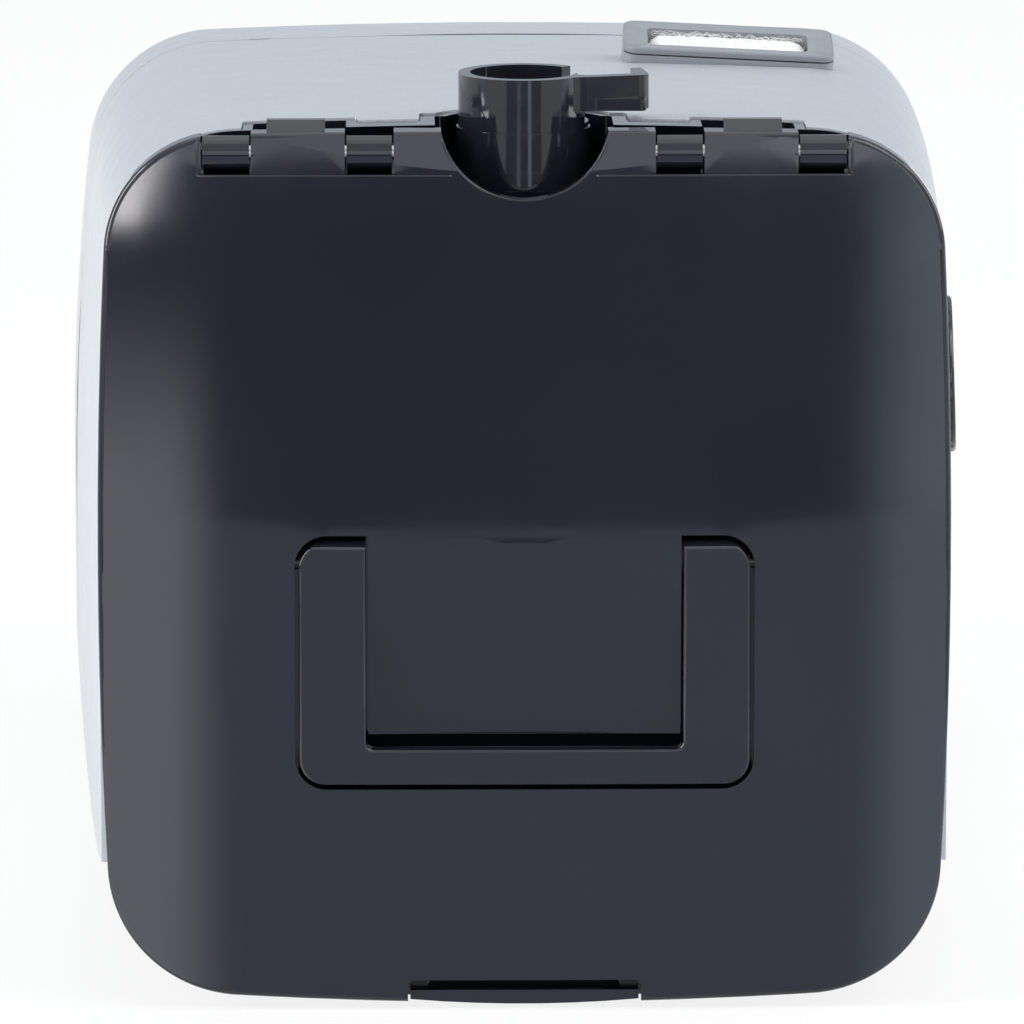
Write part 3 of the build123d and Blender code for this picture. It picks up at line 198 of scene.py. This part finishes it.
def dark_gloss():
    """Polished near-black plastic with a faint moulding wave and wipe marks."""
    paint = Paint("dark_gloss")
    drift = paint.noise(60 * MM, 2.0)
    paint.colour(paint.mix(paint.ramp(drift, 0, 1),
                           (0.0074, 0.0090, 0.0150), (0.0102, 0.0120, 0.0185)))
    wipe = paint.noise(14 * MM, 5.0, 0.6, (1.0, 1.0, 0.25))
    paint.roughness(paint.ramp(wipe, 0.032, 0.060, 0.35, 0.75))
    wave = paint.noise(22 * MM, 1.0)
    first = paint.bump(wave, 0.05, 0.03 * MM)
    paint.bump(paint.noise(0.5 * MM, 2.0), 0.10, 0.003 * MM, first)
    paint.set(IOR=1.5)
    return paint.material


def grey_gloss():
    """Glossy dark grey moulding of the air outlet and the dial."""
    paint = Paint("grey_gloss")
    drift = paint.noise(12 * MM, 2.0)
    paint.colour(paint.mix(paint.ramp(drift, 0, 1), (0.010, 0.012, 0.017), (0.014, 0.016, 0.022)))
    paint.roughness(paint.ramp(paint.noise(4 * MM, 4.0), 0.06, 0.12))
    paint.bump(paint.noise(0.35 * MM, 2.0), 0.15, 0.006 * MM)
    return paint.material


def clear_plastic():
    """Clear moulded plastic with a faint cool tint."""
    paint = Paint("clear_plastic")
    drift = paint.noise(30 * MM, 2.0)
    paint.colour(paint.mix(paint.ramp(drift, 0, 1), (0.86, 0.90, 0.93), (0.92, 0.95, 0.97)))
    paint.roughness(paint.ramp(paint.noise(8 * MM, 4.0), 0.03, 0.10))
    paint.bump(paint.noise(3 * MM, 2.0), 0.12, 0.02 * MM)
    paint.set(IOR=1.49, Transmission_Weight=0.92)
    return paint.material


def display_glass():
    """Dark display behind a clear front."""
    paint = Paint("display")
    drift = paint.noise(20 * MM, 2.0)
    paint.colour(paint.mix(paint.ramp(drift, 0, 1), (0.006, 0.009, 0.014), (0.010, 0.014, 0.021)))
    paint.roughness(paint.ramp(paint.noise(10 * MM, 5.0), 0.03, 0.07))
    paint.bump(paint.noise(25 * MM, 1.0), 0.05, 0.03 * MM)
    paint.set(IOR=1.42)
    return paint.material


def steel(name, colour, rough, stretch):
    """Turned or rolled metal with fine lines along one direction."""
    paint = Paint(name)
    lines = paint.noise(0.35 * MM, 4.0, 0.6, stretch)
    paint.colour(paint.mix(paint.ramp(lines, 0, 1), shade(colour, 0.88), shade(colour, 1.08)))
    paint.roughness(paint.ramp(paint.noise(5 * MM, 4.0), rough - 0.05, rough + 0.08))
    paint.bump(lines, 0.25, 0.01 * MM)
    paint.set(Metallic=1.0)
    return paint.material


def rubber(name, colour, rough):
    """Matt rubber with dust in its grain and paler edges."""
    paint = Paint(name)
    dust = paint.ramp(paint.noise(2.5 * MM, 6.0, 0.7), 0, 1, 0.45, 0.75)
    body = paint.mix(dust, colour, shade(colour, 1.5))
    paint.colour(paint.mix(paint.edge(0.52, 0.62), body, shade(colour, 1.8)))
    paint.roughness(paint.ramp(paint.noise(3 * MM, 4.0), rough - 0.08, rough + 0.08))
    paint.bump(paint.noise(0.4 * MM, 3.0), 0.4, 0.04 * MM)
    return paint.material


def foam(name, colour, cell):
    """Open foam or felt, whose cells of cell millimetres darken in their middles."""
    paint = Paint(name)
    pore = paint.cells(cell * MM)
    paint.colour(paint.mix(paint.ramp(pore, 0, 1, 0.0, 0.6), shade(colour, 0.55), colour))
    paint.bump(pore, 0.9, 0.4 * cell * MM)
    paint.set(Roughness=0.95)
    return paint.material


def circuit_board():
    """Coated circuit board with copper runs under the coat."""
    bricks_per_metre, run_width = 240.0, 0.012
    paint = Paint("board")
    brick = paint.add("ShaderNodeTexBrick")
    brick.inputs["Scale"].default_value = bricks_per_metre
    brick.inputs["Mortar Size"].default_value = run_width
    paint.link(paint.place, brick.inputs["Vector"])
    drift = paint.noise(8 * MM, 3.0)
    body = paint.mix(paint.ramp(drift, 0, 1), (0.012, 0.085, 0.040), (0.018, 0.120, 0.058))
    paint.colour(paint.mix(brick.outputs["Fac"], body, (0.040, 0.190, 0.085)))
    paint.roughness(paint.ramp(paint.noise(3 * MM, 3.0), 0.28, 0.42))
    paint.bump(brick.outputs["Fac"], 0.3, 0.03 * MM)
    return paint.material


def fibre():
    """Loose white filter fibre."""
    paint = Paint("fibre")
    lines = paint.noise(0.6 * MM, 6.0, 0.7, (0.35, 1.0, 1.0))
    paint.colour(paint.mix(paint.ramp(lines, 0, 1, 0.35, 0.65),
                           (0.80, 0.80, 0.79), (0.94, 0.94, 0.92)))
    paint.bump(lines, 0.8, 0.25 * MM)
    paint.set(Roughness=0.9, Sheen_Weight=0.4, Sheen_Roughness=0.5)
    return paint.material


# Stretches of the noise in metal: the lines run along the axis that isn't scaled up.
LINES_ALONG_X = (1.0, 6.0, 6.0)
LINES_ALONG_Z = (6.0, 6.0, 1.0)

MATERIALS = {
    "silver_shell": silver_shell(),
    "dark_gloss": dark_gloss(),
    "grey_gloss": grey_gloss(),
    "clear_plastic": clear_plastic(),
    "display": display_glass(),
    "dark_trim": moulded("dark_trim", (0.021, 0.023, 0.028), 0.42, 0.35, 0.03, wear=0.8),
    "filter_grey": moulded("filter_grey", (0.200, 0.214, 0.235), 0.40, 0.30, 0.03, wear=0.25),
    "inner_plastic": moulded("inner_plastic", (0.42, 0.43, 0.44), 0.45, 0.30, 0.02, wear=0.1),
    "key_white": moulded("key_white", (0.50, 0.52, 0.55), 0.22, 0.40, 0.008, Coat_Weight=0.3),
    "rubber_dark": rubber("rubber_dark", (0.030, 0.030, 0.033), 0.62),
    "silicone": rubber("silicone", (0.50, 0.52, 0.54), 0.40),
    "steel": steel("steel", (0.52, 0.53, 0.55), 0.26, LINES_ALONG_X),
    "black_steel": steel("black_steel", (0.060, 0.062, 0.068), 0.34, LINES_ALONG_X),
    "aluminium": steel("aluminium", (0.74, 0.75, 0.77), 0.34, LINES_ALONG_Z),
    "board": circuit_board(),
    "foam": foam("foam", (0.16, 0.16, 0.17), 1.6),
    "fibre": fibre(),
}

for part in frame["record"]["subparts"]:
    mesh = NODES[part["node"]].data
    mesh.materials.clear()
    mesh.materials.append(MATERIALS[part["material_slot"]])


# ------------------------------------------------------------------ helpers for new pieces
def piece(name, vertices, faces, material):
    """New smooth mesh object with its material."""
    mesh = bpy.data.meshes.new(name)
    mesh.from_pydata(vertices, [], faces)
    mesh.validate()
    mesh.materials.append(MATERIALS[material])
    for face in mesh.polygons:
        face.use_smooth = True
    thing = bpy.data.objects.new(name, mesh)
    bpy.context.scene.collection.objects.link(thing)
    return thing


def joint_axis(name):
    for joint in frame["record"]["behaviour"]["joints"]:
        if joint["name"] == name:
            return Vector(joint["axis"])
    raise KeyError(name)


class Seat:
    """Room of a CAD node in axes of its own: across, back and up."""

    def __init__(self, node, up):
        self.up = up.normalized()
        self.across = Vector((self.up.z, 0, -self.up.x)).normalized()
        self.back = self.up.cross(self.across)
        axes = (self.across, self.back, self.up)
        corners = [NODES[node].matrix_world @ vertex.co for vertex in NODES[node].data.vertices]
        self.low = [min(axis.dot(corner) for corner in corners) for axis in axes]
        self.high = [max(axis.dot(corner) for corner in corners) for axis in axes]
        self.middle = [(a + b) / 2 for a, b in zip(self.low, self.high)]
        self.half = [(b - a) / 2 for a, b in zip(self.low, self.high)]

    def point(self, x, y, z):
        return self.across * x + self.back * y + self.up * z


def surface(node):
    """Search tree of a CAD node's faces, in the row frame."""
    thing = NODES[node]
    corners = [thing.matrix_world @ vertex.co for vertex in thing.data.vertices]
    return BVHTree.FromPolygons(corners, [tuple(face.vertices) for face in thing.data.polygons])


def bead(points, faces, line, radius, sides=8, facing=None):
    """Closed round bead along the line; facing is a direction that is never along it."""
    first = len(points)
    for index, place in enumerate(line):
        ahead = (line[min(index + 1, len(line) - 1)] - line[max(index - 1, 0)]).normalized()
        out = facing or (Vector((0, -1, 0)) if abs(ahead.y) < 0.5 else Vector((0, 0, 1)))
        side = ahead.cross(out).normalized()
        out = side.cross(ahead)
        for turn in range(sides):
            angle = 2 * math.pi * turn / sides
            points.append(place + side * (math.cos(angle) * radius)
                          + out * (math.sin(angle) * radius))
    for index in range(len(line) - 1):
        for turn in range(sides):
            a = first + index * sides + turn
            b = first + index * sides + (turn + 1) % sides
            faces.append((b, a, a + sides, b + sides))
    last = first + (len(line) - 1) * sides
    faces.append(tuple(first + turn for turn in range(sides)))
    faces.append(tuple(last + turn for turn in reversed(range(sides))))


# ------------------------------------------------------------------ filter fibre
PAD_COLUMNS, PAD_ROWS = 64, 22
PAD_HEADROOM = 0.30 * MM   # above the crown, for its lumps
PAD_LUMPS = ((0.3, 1.3 * MM, 0.22 * MM), (0.7, 0.5 * MM, 0.12 * MM))  # level, size and height
RIM_FALL = 0.55            # how far the crown comes down at the rim
FOOT_WIDTH, FOOT_DEPTH = 0.985, 0.97

STRAND_SEED, STRAND_COUNT, STRAND_STEPS = 11, 420, 5
STRAND_RADIUS = 0.035 * MM
STRAND_TIP = 0.35          # radius at the ends, as a share
STRAND_SIDES = (0.0, 2.094, 4.189)
STRAND_LOW = 0.45 * MM     # roots below the cassette's top
REAR_SHARE = 0.45          # strands that gather along the rear edge
REAR_SPREAD = 0.9          # millimetres
BORDER = 0.2 * MM          # of the window, where a strand stops


def fibre_pad(seat):
    """Crowned pad of loose fibre: lumpy on top, drawn in at its corners, flat below."""
    places = [(2 * column / PAD_COLUMNS - 1, 2 * row / PAD_ROWS - 1)
              for row in range(PAD_ROWS + 1) for column in range(PAD_COLUMNS + 1)]
    points, faces = [], []
    for u, v in places:
        x = seat.middle[0] + seat.half[0] * u * (1 - 0.02 * v ** 6)
        y = seat.middle[1] + seat.half[1] * v * (1 - 0.05 * u ** 8)
        crown = (1 - RIM_FALL * abs(u) ** 14) * (1 - RIM_FALL * abs(v) ** 7)
        lump = sum(noise.noise(Vector((x, y, level)) / size) * height
                   for level, size, height in PAD_LUMPS)
        top = seat.low[2] + (2 * seat.half[2] - PAD_HEADROOM) * crown + lump
        points.append(seat.point(x, y, top))
    count = len(points)
    for u, v in places:
        points.append(seat.point(seat.middle[0] + seat.half[0] * u * FOOT_WIDTH,
                                 seat.middle[1] + seat.half[1] * v * FOOT_DEPTH, seat.low[2]))
    wide = PAD_COLUMNS + 1
    for row in range(PAD_ROWS):
        for column in range(PAD_COLUMNS):
            a = row * wide + column
            faces.append((a, a + 1, a + wide + 1, a + wide))
            faces.append((count + a, count + a + wide, count + a + wide + 1, count + a + 1))
    rim = list(range(wide))
    rim += [row * wide + PAD_COLUMNS for row in range(1, PAD_ROWS + 1)]
    rim += [PAD_ROWS * wide + column for column in range(PAD_COLUMNS - 1, -1, -1)]
    rim += [row * wide for row in range(PAD_ROWS - 1, 0, -1)]
    for here, after in zip(rim, rim[1:] + rim[:1]):
        faces.append((after, here, count + here, count + after))
    return piece("filter_fibre", points, faces, "fibre")


def strand(points, faces, line):
    """Thin three-sided hair along a line of points."""
    first = len(points)
    for index, place in enumerate(line):
        ahead = line[min(index + 1, len(line) - 1)] - line[max(index - 1, 0)]
        side = ahead.orthogonal().normalized()
        other = ahead.cross(side).normalized()
        width = STRAND_RADIUS * (1.0 if 0 < index < len(line) - 1 else STRAND_TIP)
        for turn in STRAND_SIDES:
            points.append(place + side * (math.cos(turn) * width)
                          + other * (math.sin(turn) * width))
    for index in range(len(line) - 1):
        base = first + 3 * index
        for corner in range(3):
            after = (corner + 1) % 3
            faces.append((base + corner, base + after, base + 3 + after, base + 3 + corner))
    last = first + 3 * (len(line) - 1)
    faces.append((first + 2, first + 1, first))
    faces.append((last, last + 1, last + 2))


def loose_strands(seat):
    """Stray fibres that curl out of the pad's top, inside the cassette's window."""
    chance = random.Random(STRAND_SEED)
    points, faces = [], []
    for _ in range(STRAND_COUNT):
        x = chance.uniform(seat.low[0] + 0.4 * MM, seat.high[0] - 0.4 * MM)
        y = chance.uniform(seat.low[1] + 0.3 * MM, seat.high[1] - 0.3 * MM)
        if chance.random() < REAR_SHARE:
            y = seat.high[1] - abs(chance.gauss(0, REAR_SPREAD)) * MM
        heading, bend = chance.uniform(0, 2 * math.pi), chance.uniform(-1.3, 1.3)
        length, rise = chance.uniform(1.2, 3.4) * MM, chance.uniform(0.1, 0.75) * MM
        line = []
        for step in range(STRAND_STEPS + 1):
            inside_x = seat.low[0] + BORDER < x < seat.high[0] - BORDER
            inside_y = seat.low[1] + BORDER < y < seat.high[1] - BORDER
            if not (inside_x and inside_y):
                break
            lift = rise * math.sin(math.pi * (step / STRAND_STEPS))
            line.append(seat.point(x, y, seat.high[2] - STRAND_LOW + lift))
            heading += bend / STRAND_STEPS
            x += math.cos(heading) * length / STRAND_STEPS
            y += math.sin(heading) * length / STRAND_STEPS
        if len(line) > 2:
            strand(points, faces, line)
    return piece("filter_strands", points, faces, "fibre")


cassette = Seat("filter_pad", joint_axis("filter_pull"))
pad = fibre_pad(cassette)
strands = loose_strands(cassette)
strands.parent = pad
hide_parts("filter_pad")
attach(pad, "filter_cassette")


# ------------------------------------------------------------------ rims of the door
# Sizes in millimetres, on the front of the door.
DOOR_FACE_LIMIT = -128.0          # the front face lies ahead of this, and the pockets behind it
RIM_RADIUS = 0.22
RIM_SINK = 0.04
STRIP_REACH = 54.8
STRIP_TOP, STRIP_LOW = 149.4, 143.2
STRIP_INNER_END = 12.0
NOTCH_HEIGHT, NOTCH_RADIUS = 153.5, 14.48
NOTCH_DEGREES = range(-164, -15, 3)


def on_front(tree, line):
    """Points of the line (x, z), dropped on the front of the door and sunk into it a little."""
    found = []
    for x, z in line:
        hit = tree.ray_cast(Vector((x * MM, -0.2, z * MM)), Vector((0, 1, 0)))[0]
        if hit is not None and hit.y < DOOR_FACE_LIMIT * MM:
            found.append(hit + Vector((0, RIM_SINK * MM, 0)))
    return found


def stretch(start, end, step=0.8):
    """Evenly spaced points from start to end."""
    count = max(2, int(math.dist(start, end) / step))
    return [(start[0] + (end[0] - start[0]) * k / count,
             start[1] + (end[1] - start[1]) * k / count) for k in range(count + 1)]


def hinge_rims():
    """Thin moulded bead round the bevelled strip with the hinge knuckles, and round the notch."""
    shell = surface("door_shell")
    points, faces = [], []
    outline = ((STRIP_REACH, STRIP_TOP), (STRIP_REACH, STRIP_LOW), (STRIP_INNER_END, STRIP_LOW))
    for side in (-1, 1):
        for start, end in zip(outline, outline[1:]):
            run = stretch((side * start[0], start[1]), (side * end[0], end[1]))
            line = on_front(shell, run)
            if len(line) > 2:
                bead(points, faces, line, RIM_RADIUS * MM)
    arc = []
    for degree in NOTCH_DEGREES:
        angle = math.radians(degree)
        arc.append((NOTCH_RADIUS * math.cos(angle), NOTCH_HEIGHT + NOTCH_RADIUS * math.sin(angle)))
    bead(points, faces, on_front(shell, arc), RIM_RADIUS * MM)
    rims = piece("hinge_strip_rims", points, faces, "dark_gloss")
    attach(rims, "door")


hinge_rims()


# ------------------------------------------------------------------ painted seam shade and springs
# Section of the dark strip that paints the seam gap's shade, in millimetres: height above the rear
# cover's tongue, and place along y.
SHADE_STRIP_SECTION = ((-0.05, 72.64), (1.30, 72.64), (1.30, 73.10), (2.60, 73.10),
                (2.68, 73.18), (2.68, 73.36), (2.60, 73.43), (-0.05, 73.43))
SHADE_STRIP_MIDDLE = Vector((0, 73.0 * MM, 0.070))
SHADE_STRIP_DEGREES = range(-34, 215, 2)     # over the roof and down both sides, to the skirt

SPRING_SPOTS = ((25.98, -51.0), (-25.98, -51.0), (0.0, -96.0))     # 30 mm from the plate's middle
SPRING_WIRE, SPRING_REACH = 0.55 * MM, 3.9 * MM
SPRING_TURNS, SPRING_STEPS = 3.5, 24

SIGN_RADIUS, SIGN_WIRE, SIGN_SINK = 1.75, 0.22, 0.14
SIGN_DEGREES = range(38, 323, 8)
SIGN_BAR = (0.7, 1.5, 2.3)


def seam_shade_strip():
    """Dark strip laid in the groove between the covers, with a lip along the rear cover's edge:
    painted shade of the seam gap.
    """
    cover = surface("rear_cover")
    corners = len(SHADE_STRIP_SECTION)
    points, faces = [], []
    for degree in SHADE_STRIP_DEGREES:
        angle = math.radians(degree)
        out = Vector((math.cos(angle), 0, math.sin(angle)))
        hit = cover.ray_cast(SHADE_STRIP_MIDDLE + out * 0.2, -out)[0]
        if hit is None or (hit - SHADE_STRIP_MIDDLE).dot(out) < 0.03:
            continue
        for lift, side in SHADE_STRIP_SECTION:
            place = hit + out * (lift * MM)
            points.append(Vector((place.x, side * MM, place.z)))
    count = len(points) // corners
    for index in range(count - 1):
        for turn in range(corners):
            a, b = index * corners + turn, index * corners + (turn + 1) % corners
            faces.append((a, b, b + corners, a + corners))
    faces.append(tuple(reversed(range(corners))))
    faces.append(tuple(corners * (count - 1) + turn for turn in range(corners)))
    # Painted shade: a dark rubber strip fills the seam gap and stands in for the gap's shadow.
    shade_strip = piece("seam_shade_strip", points, faces, "rubber_dark")
    for face in shade_strip.data.polygons:
        face.use_smooth = False
    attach(shade_strip, "case")


def heater_springs():
    """Three wire springs under the heater plate."""
    low, high = [corner.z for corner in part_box("heater_springs")]
    end_turn, total = 0.5, int(SPRING_TURNS * SPRING_STEPS)
    points, faces = [], []
    for x, y in SPRING_SPOTS:
        line = []
        for index in range(total + 1):
            turned = index / total * SPRING_TURNS
            climb = min(1.0, max(0.0, (turned - end_turn) / (SPRING_TURNS - 2 * end_turn)))
            angle = 2 * math.pi * turned
            line.append(Vector((x * MM + math.cos(angle) * SPRING_REACH,
                                y * MM + math.sin(angle) * SPRING_REACH,
                                low + SPRING_WIRE + (high - low - 2 * SPRING_WIRE) * climb)))
        bead(points, faces, line, SPRING_WIRE, 10)
    springs = piece("heater_coils", points, faces, "steel")
    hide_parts("heater_springs")
    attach(springs, "case")
    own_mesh(springs)


def key_symbol():
    """Raised on-off sign, an open ring with a bar, on the face of the start key."""
    out = -joint_axis("start_press")
    seat = Seat("start_button", out)
    depth = seat.high[2] - SIGN_SINK * MM

    def spot(along, up):
        return seat.point(seat.middle[0] - up * MM, seat.middle[1] + along * MM, depth)

    points, faces = [], []
    ring = [math.radians(degree) for degree in SIGN_DEGREES]
    bead(points, faces, [spot(SIGN_RADIUS * math.sin(angle), SIGN_RADIUS * math.cos(angle))
                         for angle in ring], SIGN_WIRE * MM, facing=out)
    bead(points, faces, [spot(0, up) for up in SIGN_BAR], SIGN_WIRE * MM, facing=out)
    sign = piece("start_key_sign", points, faces, "dark_trim")
    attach(sign, "start_key")


seam_shade_strip()
heater_springs()
key_symbol()


# ------------------------------------------------------------------ stage
def plane(name, corners, material):
    mesh = bpy.data.meshes.new(name)
    mesh.from_pydata(corners, [], [tuple(range(len(corners)))])
    mesh.materials.append(material)
    thing = bpy.data.objects.new(name, mesh)
    bpy.context.scene.collection.objects.link(thing)
    return thing


def seen(tree, *kinds):
    """1 for the rays named, such as camera rays."""
    path = tree.nodes.new("ShaderNodeLightPath")
    total = path.outputs[kinds[0]]
    for kind in kinds[1:]:
        step = tree.nodes.new("ShaderNodeMath")
        step.operation = "MAXIMUM"
        tree.links.new(total, step.inputs[0])
        tree.links.new(path.outputs[kind], step.inputs[1])
        total = step.outputs[0]
    return total


def product(tree, first, second):
    """One socket times another socket, or times a number."""
    times = tree.nodes.new("ShaderNodeMath")
    times.operation = "MULTIPLY"
    tree.links.new(first, times.inputs[0])
    if isinstance(second, float):
        times.inputs[1].default_value = second
    else:
        tree.links.new(second, times.inputs[1])
    return times.outputs[0]


def blend(tree, share, first, second, output):
    """Mix of two shaders, into the output's surface."""
    mix = tree.nodes.new("ShaderNodeMixShader")
    tree.links.new(share, mix.inputs[0])
    tree.links.new(first.outputs[0], mix.inputs[1])
    tree.links.new(second.outputs[0], mix.inputs[2])
    tree.links.new(mix.outputs[0], output.inputs["Surface"])


# The rays that see a plain white background.
WHITE_RAYS = ("Is Camera Ray", "Is Glossy Ray", "Is Transmission Ray")


def floor_material():
    """Pale matt floor that keeps a soft shadow and reads as white."""
    whiteness = 0.85
    material = bpy.data.materials.new("floor")
    material.use_nodes = True
    tree = material.node_tree
    tree.nodes.clear()
    output = tree.nodes.new("ShaderNodeOutputMaterial")
    matt = tree.nodes.new("ShaderNodeBsdfDiffuse")
    matt.inputs["Color"].default_value = (0.86, 0.86, 0.86, 1)
    glow = tree.nodes.new("ShaderNodeEmission")
    glow.inputs["Strength"].default_value = 1.0
    blend(tree, product(tree, seen(tree, *WHITE_RAYS), whiteness), matt, glow, output)
    return material


def card_material(name, level, fades):
    """Plain glow that fades in along each direction in fades, from its start to its end."""
    material = bpy.data.materials.new(name)
    material.use_nodes = True
    tree = material.node_tree
    tree.nodes.clear()
    output = tree.nodes.new("ShaderNodeOutputMaterial")
    glow = tree.nodes.new("ShaderNodeEmission")
    glow.inputs["Color"].default_value = (*level, 1)
    share = None
    for direction, start, end in fades:
        place = tree.nodes.new("ShaderNodeTexCoord")
        along = tree.nodes.new("ShaderNodeVectorMath")
        along.operation = "DOT_PRODUCT"
        along.inputs[1].default_value = direction
        ramp = tree.nodes.new("ShaderNodeMapRange")
        ramp.interpolation_type = "SMOOTHSTEP"
        ramp.inputs["From Min"].default_value = start
        ramp.inputs["From Max"].default_value = end
        tree.links.new(place.outputs["Object"], along.inputs[0])
        tree.links.new(along.outputs["Value"], ramp.inputs["Value"])
        fade = ramp.outputs["Result"]
        share = fade if share is None else product(tree, share, fade)
    if share is None:
        tree.links.new(glow.outputs[0], output.inputs["Surface"])
    else:
        blend(tree, share, tree.nodes.new("ShaderNodeBsdfTransparent"), glow, output)
    return material


def card(name, corners, level, *fades):
    """Studio card that only shows in reflections: it doesn't light the object or the view."""
    thing = plane(name, corners, card_material(name, level, fades))
    thing.visible_camera = False
    thing.visible_diffuse = False
    thing.visible_shadow = False
    thing.visible_transmission = False


def wall(y, left, right, low, high):
    return [(left, y, low), (right, y, low), (right, y, high), (left, y, high)]


def lying(z, left, right, front, rear):
    return [(left, front, z), (right, front, z), (right, rear, z), (left, rear, z)]


# Places in metres. The floor ends in front of the machine, and below its level the door
# mirrors the cards that stand far in front.
LEFT, RIGHT = (-1.0, 0.0, 0.0), (1.0, 0.0, 0.0)
FRONT, REAR, DOWN = (0.0, -1.0, 0.0), (0.0, 1.0, 0.0), (0.0, 0.0, -1.0)
FLOOR_FRONT = -0.612
FLOOR_REACH = 6
DOOR_FRONT = -0.137
CARD_REACH = 1.3
CARDS_LOW, CARDS_HIGH = -1.2, 0.9
FAR_WALL, MIDDLE_WALL, NEAR_WALL = -2.30, -2.296, -2.29
HORIZON = -0.042           # below it the far card is dark, above it pale
LAYERS = (0.0004, 0.0008, 0.0012)     # heights of the cards that lie on the floor

plane("floor", lying(0, -FLOOR_REACH, FLOOR_REACH, FLOOR_FRONT, FLOOR_REACH), floor_material())
card("front_flag", wall(FAR_WALL, -CARD_REACH, CARD_REACH, CARDS_LOW, HORIZON),
     (0.235, 0.252, 0.298))
card("front_high", wall(FAR_WALL, -CARD_REACH, CARD_REACH, HORIZON, CARDS_HIGH),
     (1.75, 1.77, 1.90))
card("front_high_right", wall(MIDDLE_WALL, 0.05, CARD_REACH, HORIZON, CARDS_HIGH),
     (2.70, 2.75, 2.90), (RIGHT, 0.08, 0.25))
card("side_floor", lying(LAYERS[0], 0.30, 2.2, -0.60, 0.60), (1.5, 1.58, 1.75),
     (RIGHT, 0.30, 0.75), (REAR, -0.60, -0.20), (FRONT, -0.60, -0.20))
card("rear_flag", wall(2.5, -3.0, 3.0, -0.2, 2.0), (0.50, 0.55, 0.62))
card("front_floor", lying(LAYERS[0], -CARD_REACH, CARD_REACH, FLOOR_FRONT, DOOR_FRONT),
     (0.67, 0.735, 0.85))
card("left_floor", lying(LAYERS[1], -0.24, -0.02, FLOOR_FRONT, DOOR_FRONT), (2.30, 2.30, 2.45),
     ((-1.0, 0.069, 0.0), 0.0380, 0.0540))
card("left_wall", wall(NEAR_WALL, -0.45, -0.15, CARDS_LOW, 0.0), (2.30, 2.30, 2.45),
     (LEFT, 0.185, 0.225), (DOWN, 0.10, 0.28))
card("right_floor", lying(LAYERS[2], 0.02, 0.26, FLOOR_FRONT, DOOR_FRONT), (1.50, 1.65, 1.95),
     ((1.0, 0.1047, 0.0), 0.0390, 0.0540))
card("right_wall", wall(NEAR_WALL, 0.2, 0.50, CARDS_LOW, 0.19), (1.70, 1.90, 2.20),
     (RIGHT, 0.26, 0.32))
card("lamp_glint", [(-0.266, -2.28, -0.080), (-0.237, -2.28, -0.081), (-0.225, -2.28, -0.032),
                    (-0.254, -2.28, -0.036)], (17.0, 16.6, 17.4))


# ------------------------------------------------------------------ light and camera
def world():
    """Even cool light, behind a background that is white to the rays that see it."""
    scene = bpy.context.scene
    scene.world = bpy.data.worlds.new("studio")
    scene.world.use_nodes = True
    tree = scene.world.node_tree
    tree.nodes.clear()
    output = tree.nodes.new("ShaderNodeOutputWorld")
    light = tree.nodes.new("ShaderNodeBackground")
    light.inputs["Color"].default_value = (0.93, 0.96, 1.0, 1)
    light.inputs["Strength"].default_value = 0.62
    white = tree.nodes.new("ShaderNodeBackground")
    white.inputs["Color"].default_value = (1, 1, 1, 1)
    white.inputs["Strength"].default_value = 1.0
    blend(tree, seen(tree, *WHITE_RAYS), light, white, output)


def softbox(name, place, target, size, power, colour=(1, 1, 1)):
    """Rectangular lamp of power watts at place, aimed at target."""
    data = bpy.data.lights.new(name, "AREA")
    data.shape = "RECTANGLE"
    data.size, data.size_y = size
    data.energy = power
    data.color = colour
    lamp = bpy.data.objects.new(name, data)
    lamp.location = place
    aim = Vector(target) - Vector(place)
    lamp.rotation_euler = aim.to_track_quat("-Z", "Y").to_euler()
    bpy.context.scene.collection.objects.link(lamp)


world()
softbox("key", (1.1, -0.9, 1.7), (0, -0.05, 0.08), (1.2, 1.2), 17)
softbox("top", (-0.2, 0.1, 1.9), (0, 0.0, 0.08), (1.6, 1.6), 6, (0.95, 0.97, 1.0))
softbox("left", (-1.6, -0.6, 0.7), (0, 0, 0.08), (0.5, 1.4), 26)
softbox("right", (1.7, 0.1, 0.8), (0, 0.02, 0.10), (0.6, 1.2), 12)

# The photograph's view, fitted to the door, the roof and the outlet.
CAMERA_PLACE = (-0.0230, -1.7075, 0.3767)
LOOK_DOWN, TURN_RIGHT = 10.47, 0.76       # degrees
LENS, SENSOR = 334.1, 36.0                # millimetres


def camera():
    """Camera a little left of the machine's middle, which looks down by about ten degrees."""
    data = bpy.data.cameras.new("camera")
    data.sensor_width = SENSOR
    data.lens = LENS
    data.clip_start = 0.05
    data.clip_end = 50.0
    thing = bpy.data.objects.new("camera", data)
    thing.location = CAMERA_PLACE
    thing.rotation_euler = (math.radians(90 - LOOK_DOWN), 0, math.radians(-TURN_RIGHT))
    bpy.context.scene.collection.objects.link(thing)
    bpy.context.scene.camera = thing


camera()
bpy.context.scene.view_settings.view_transform = "Standard"
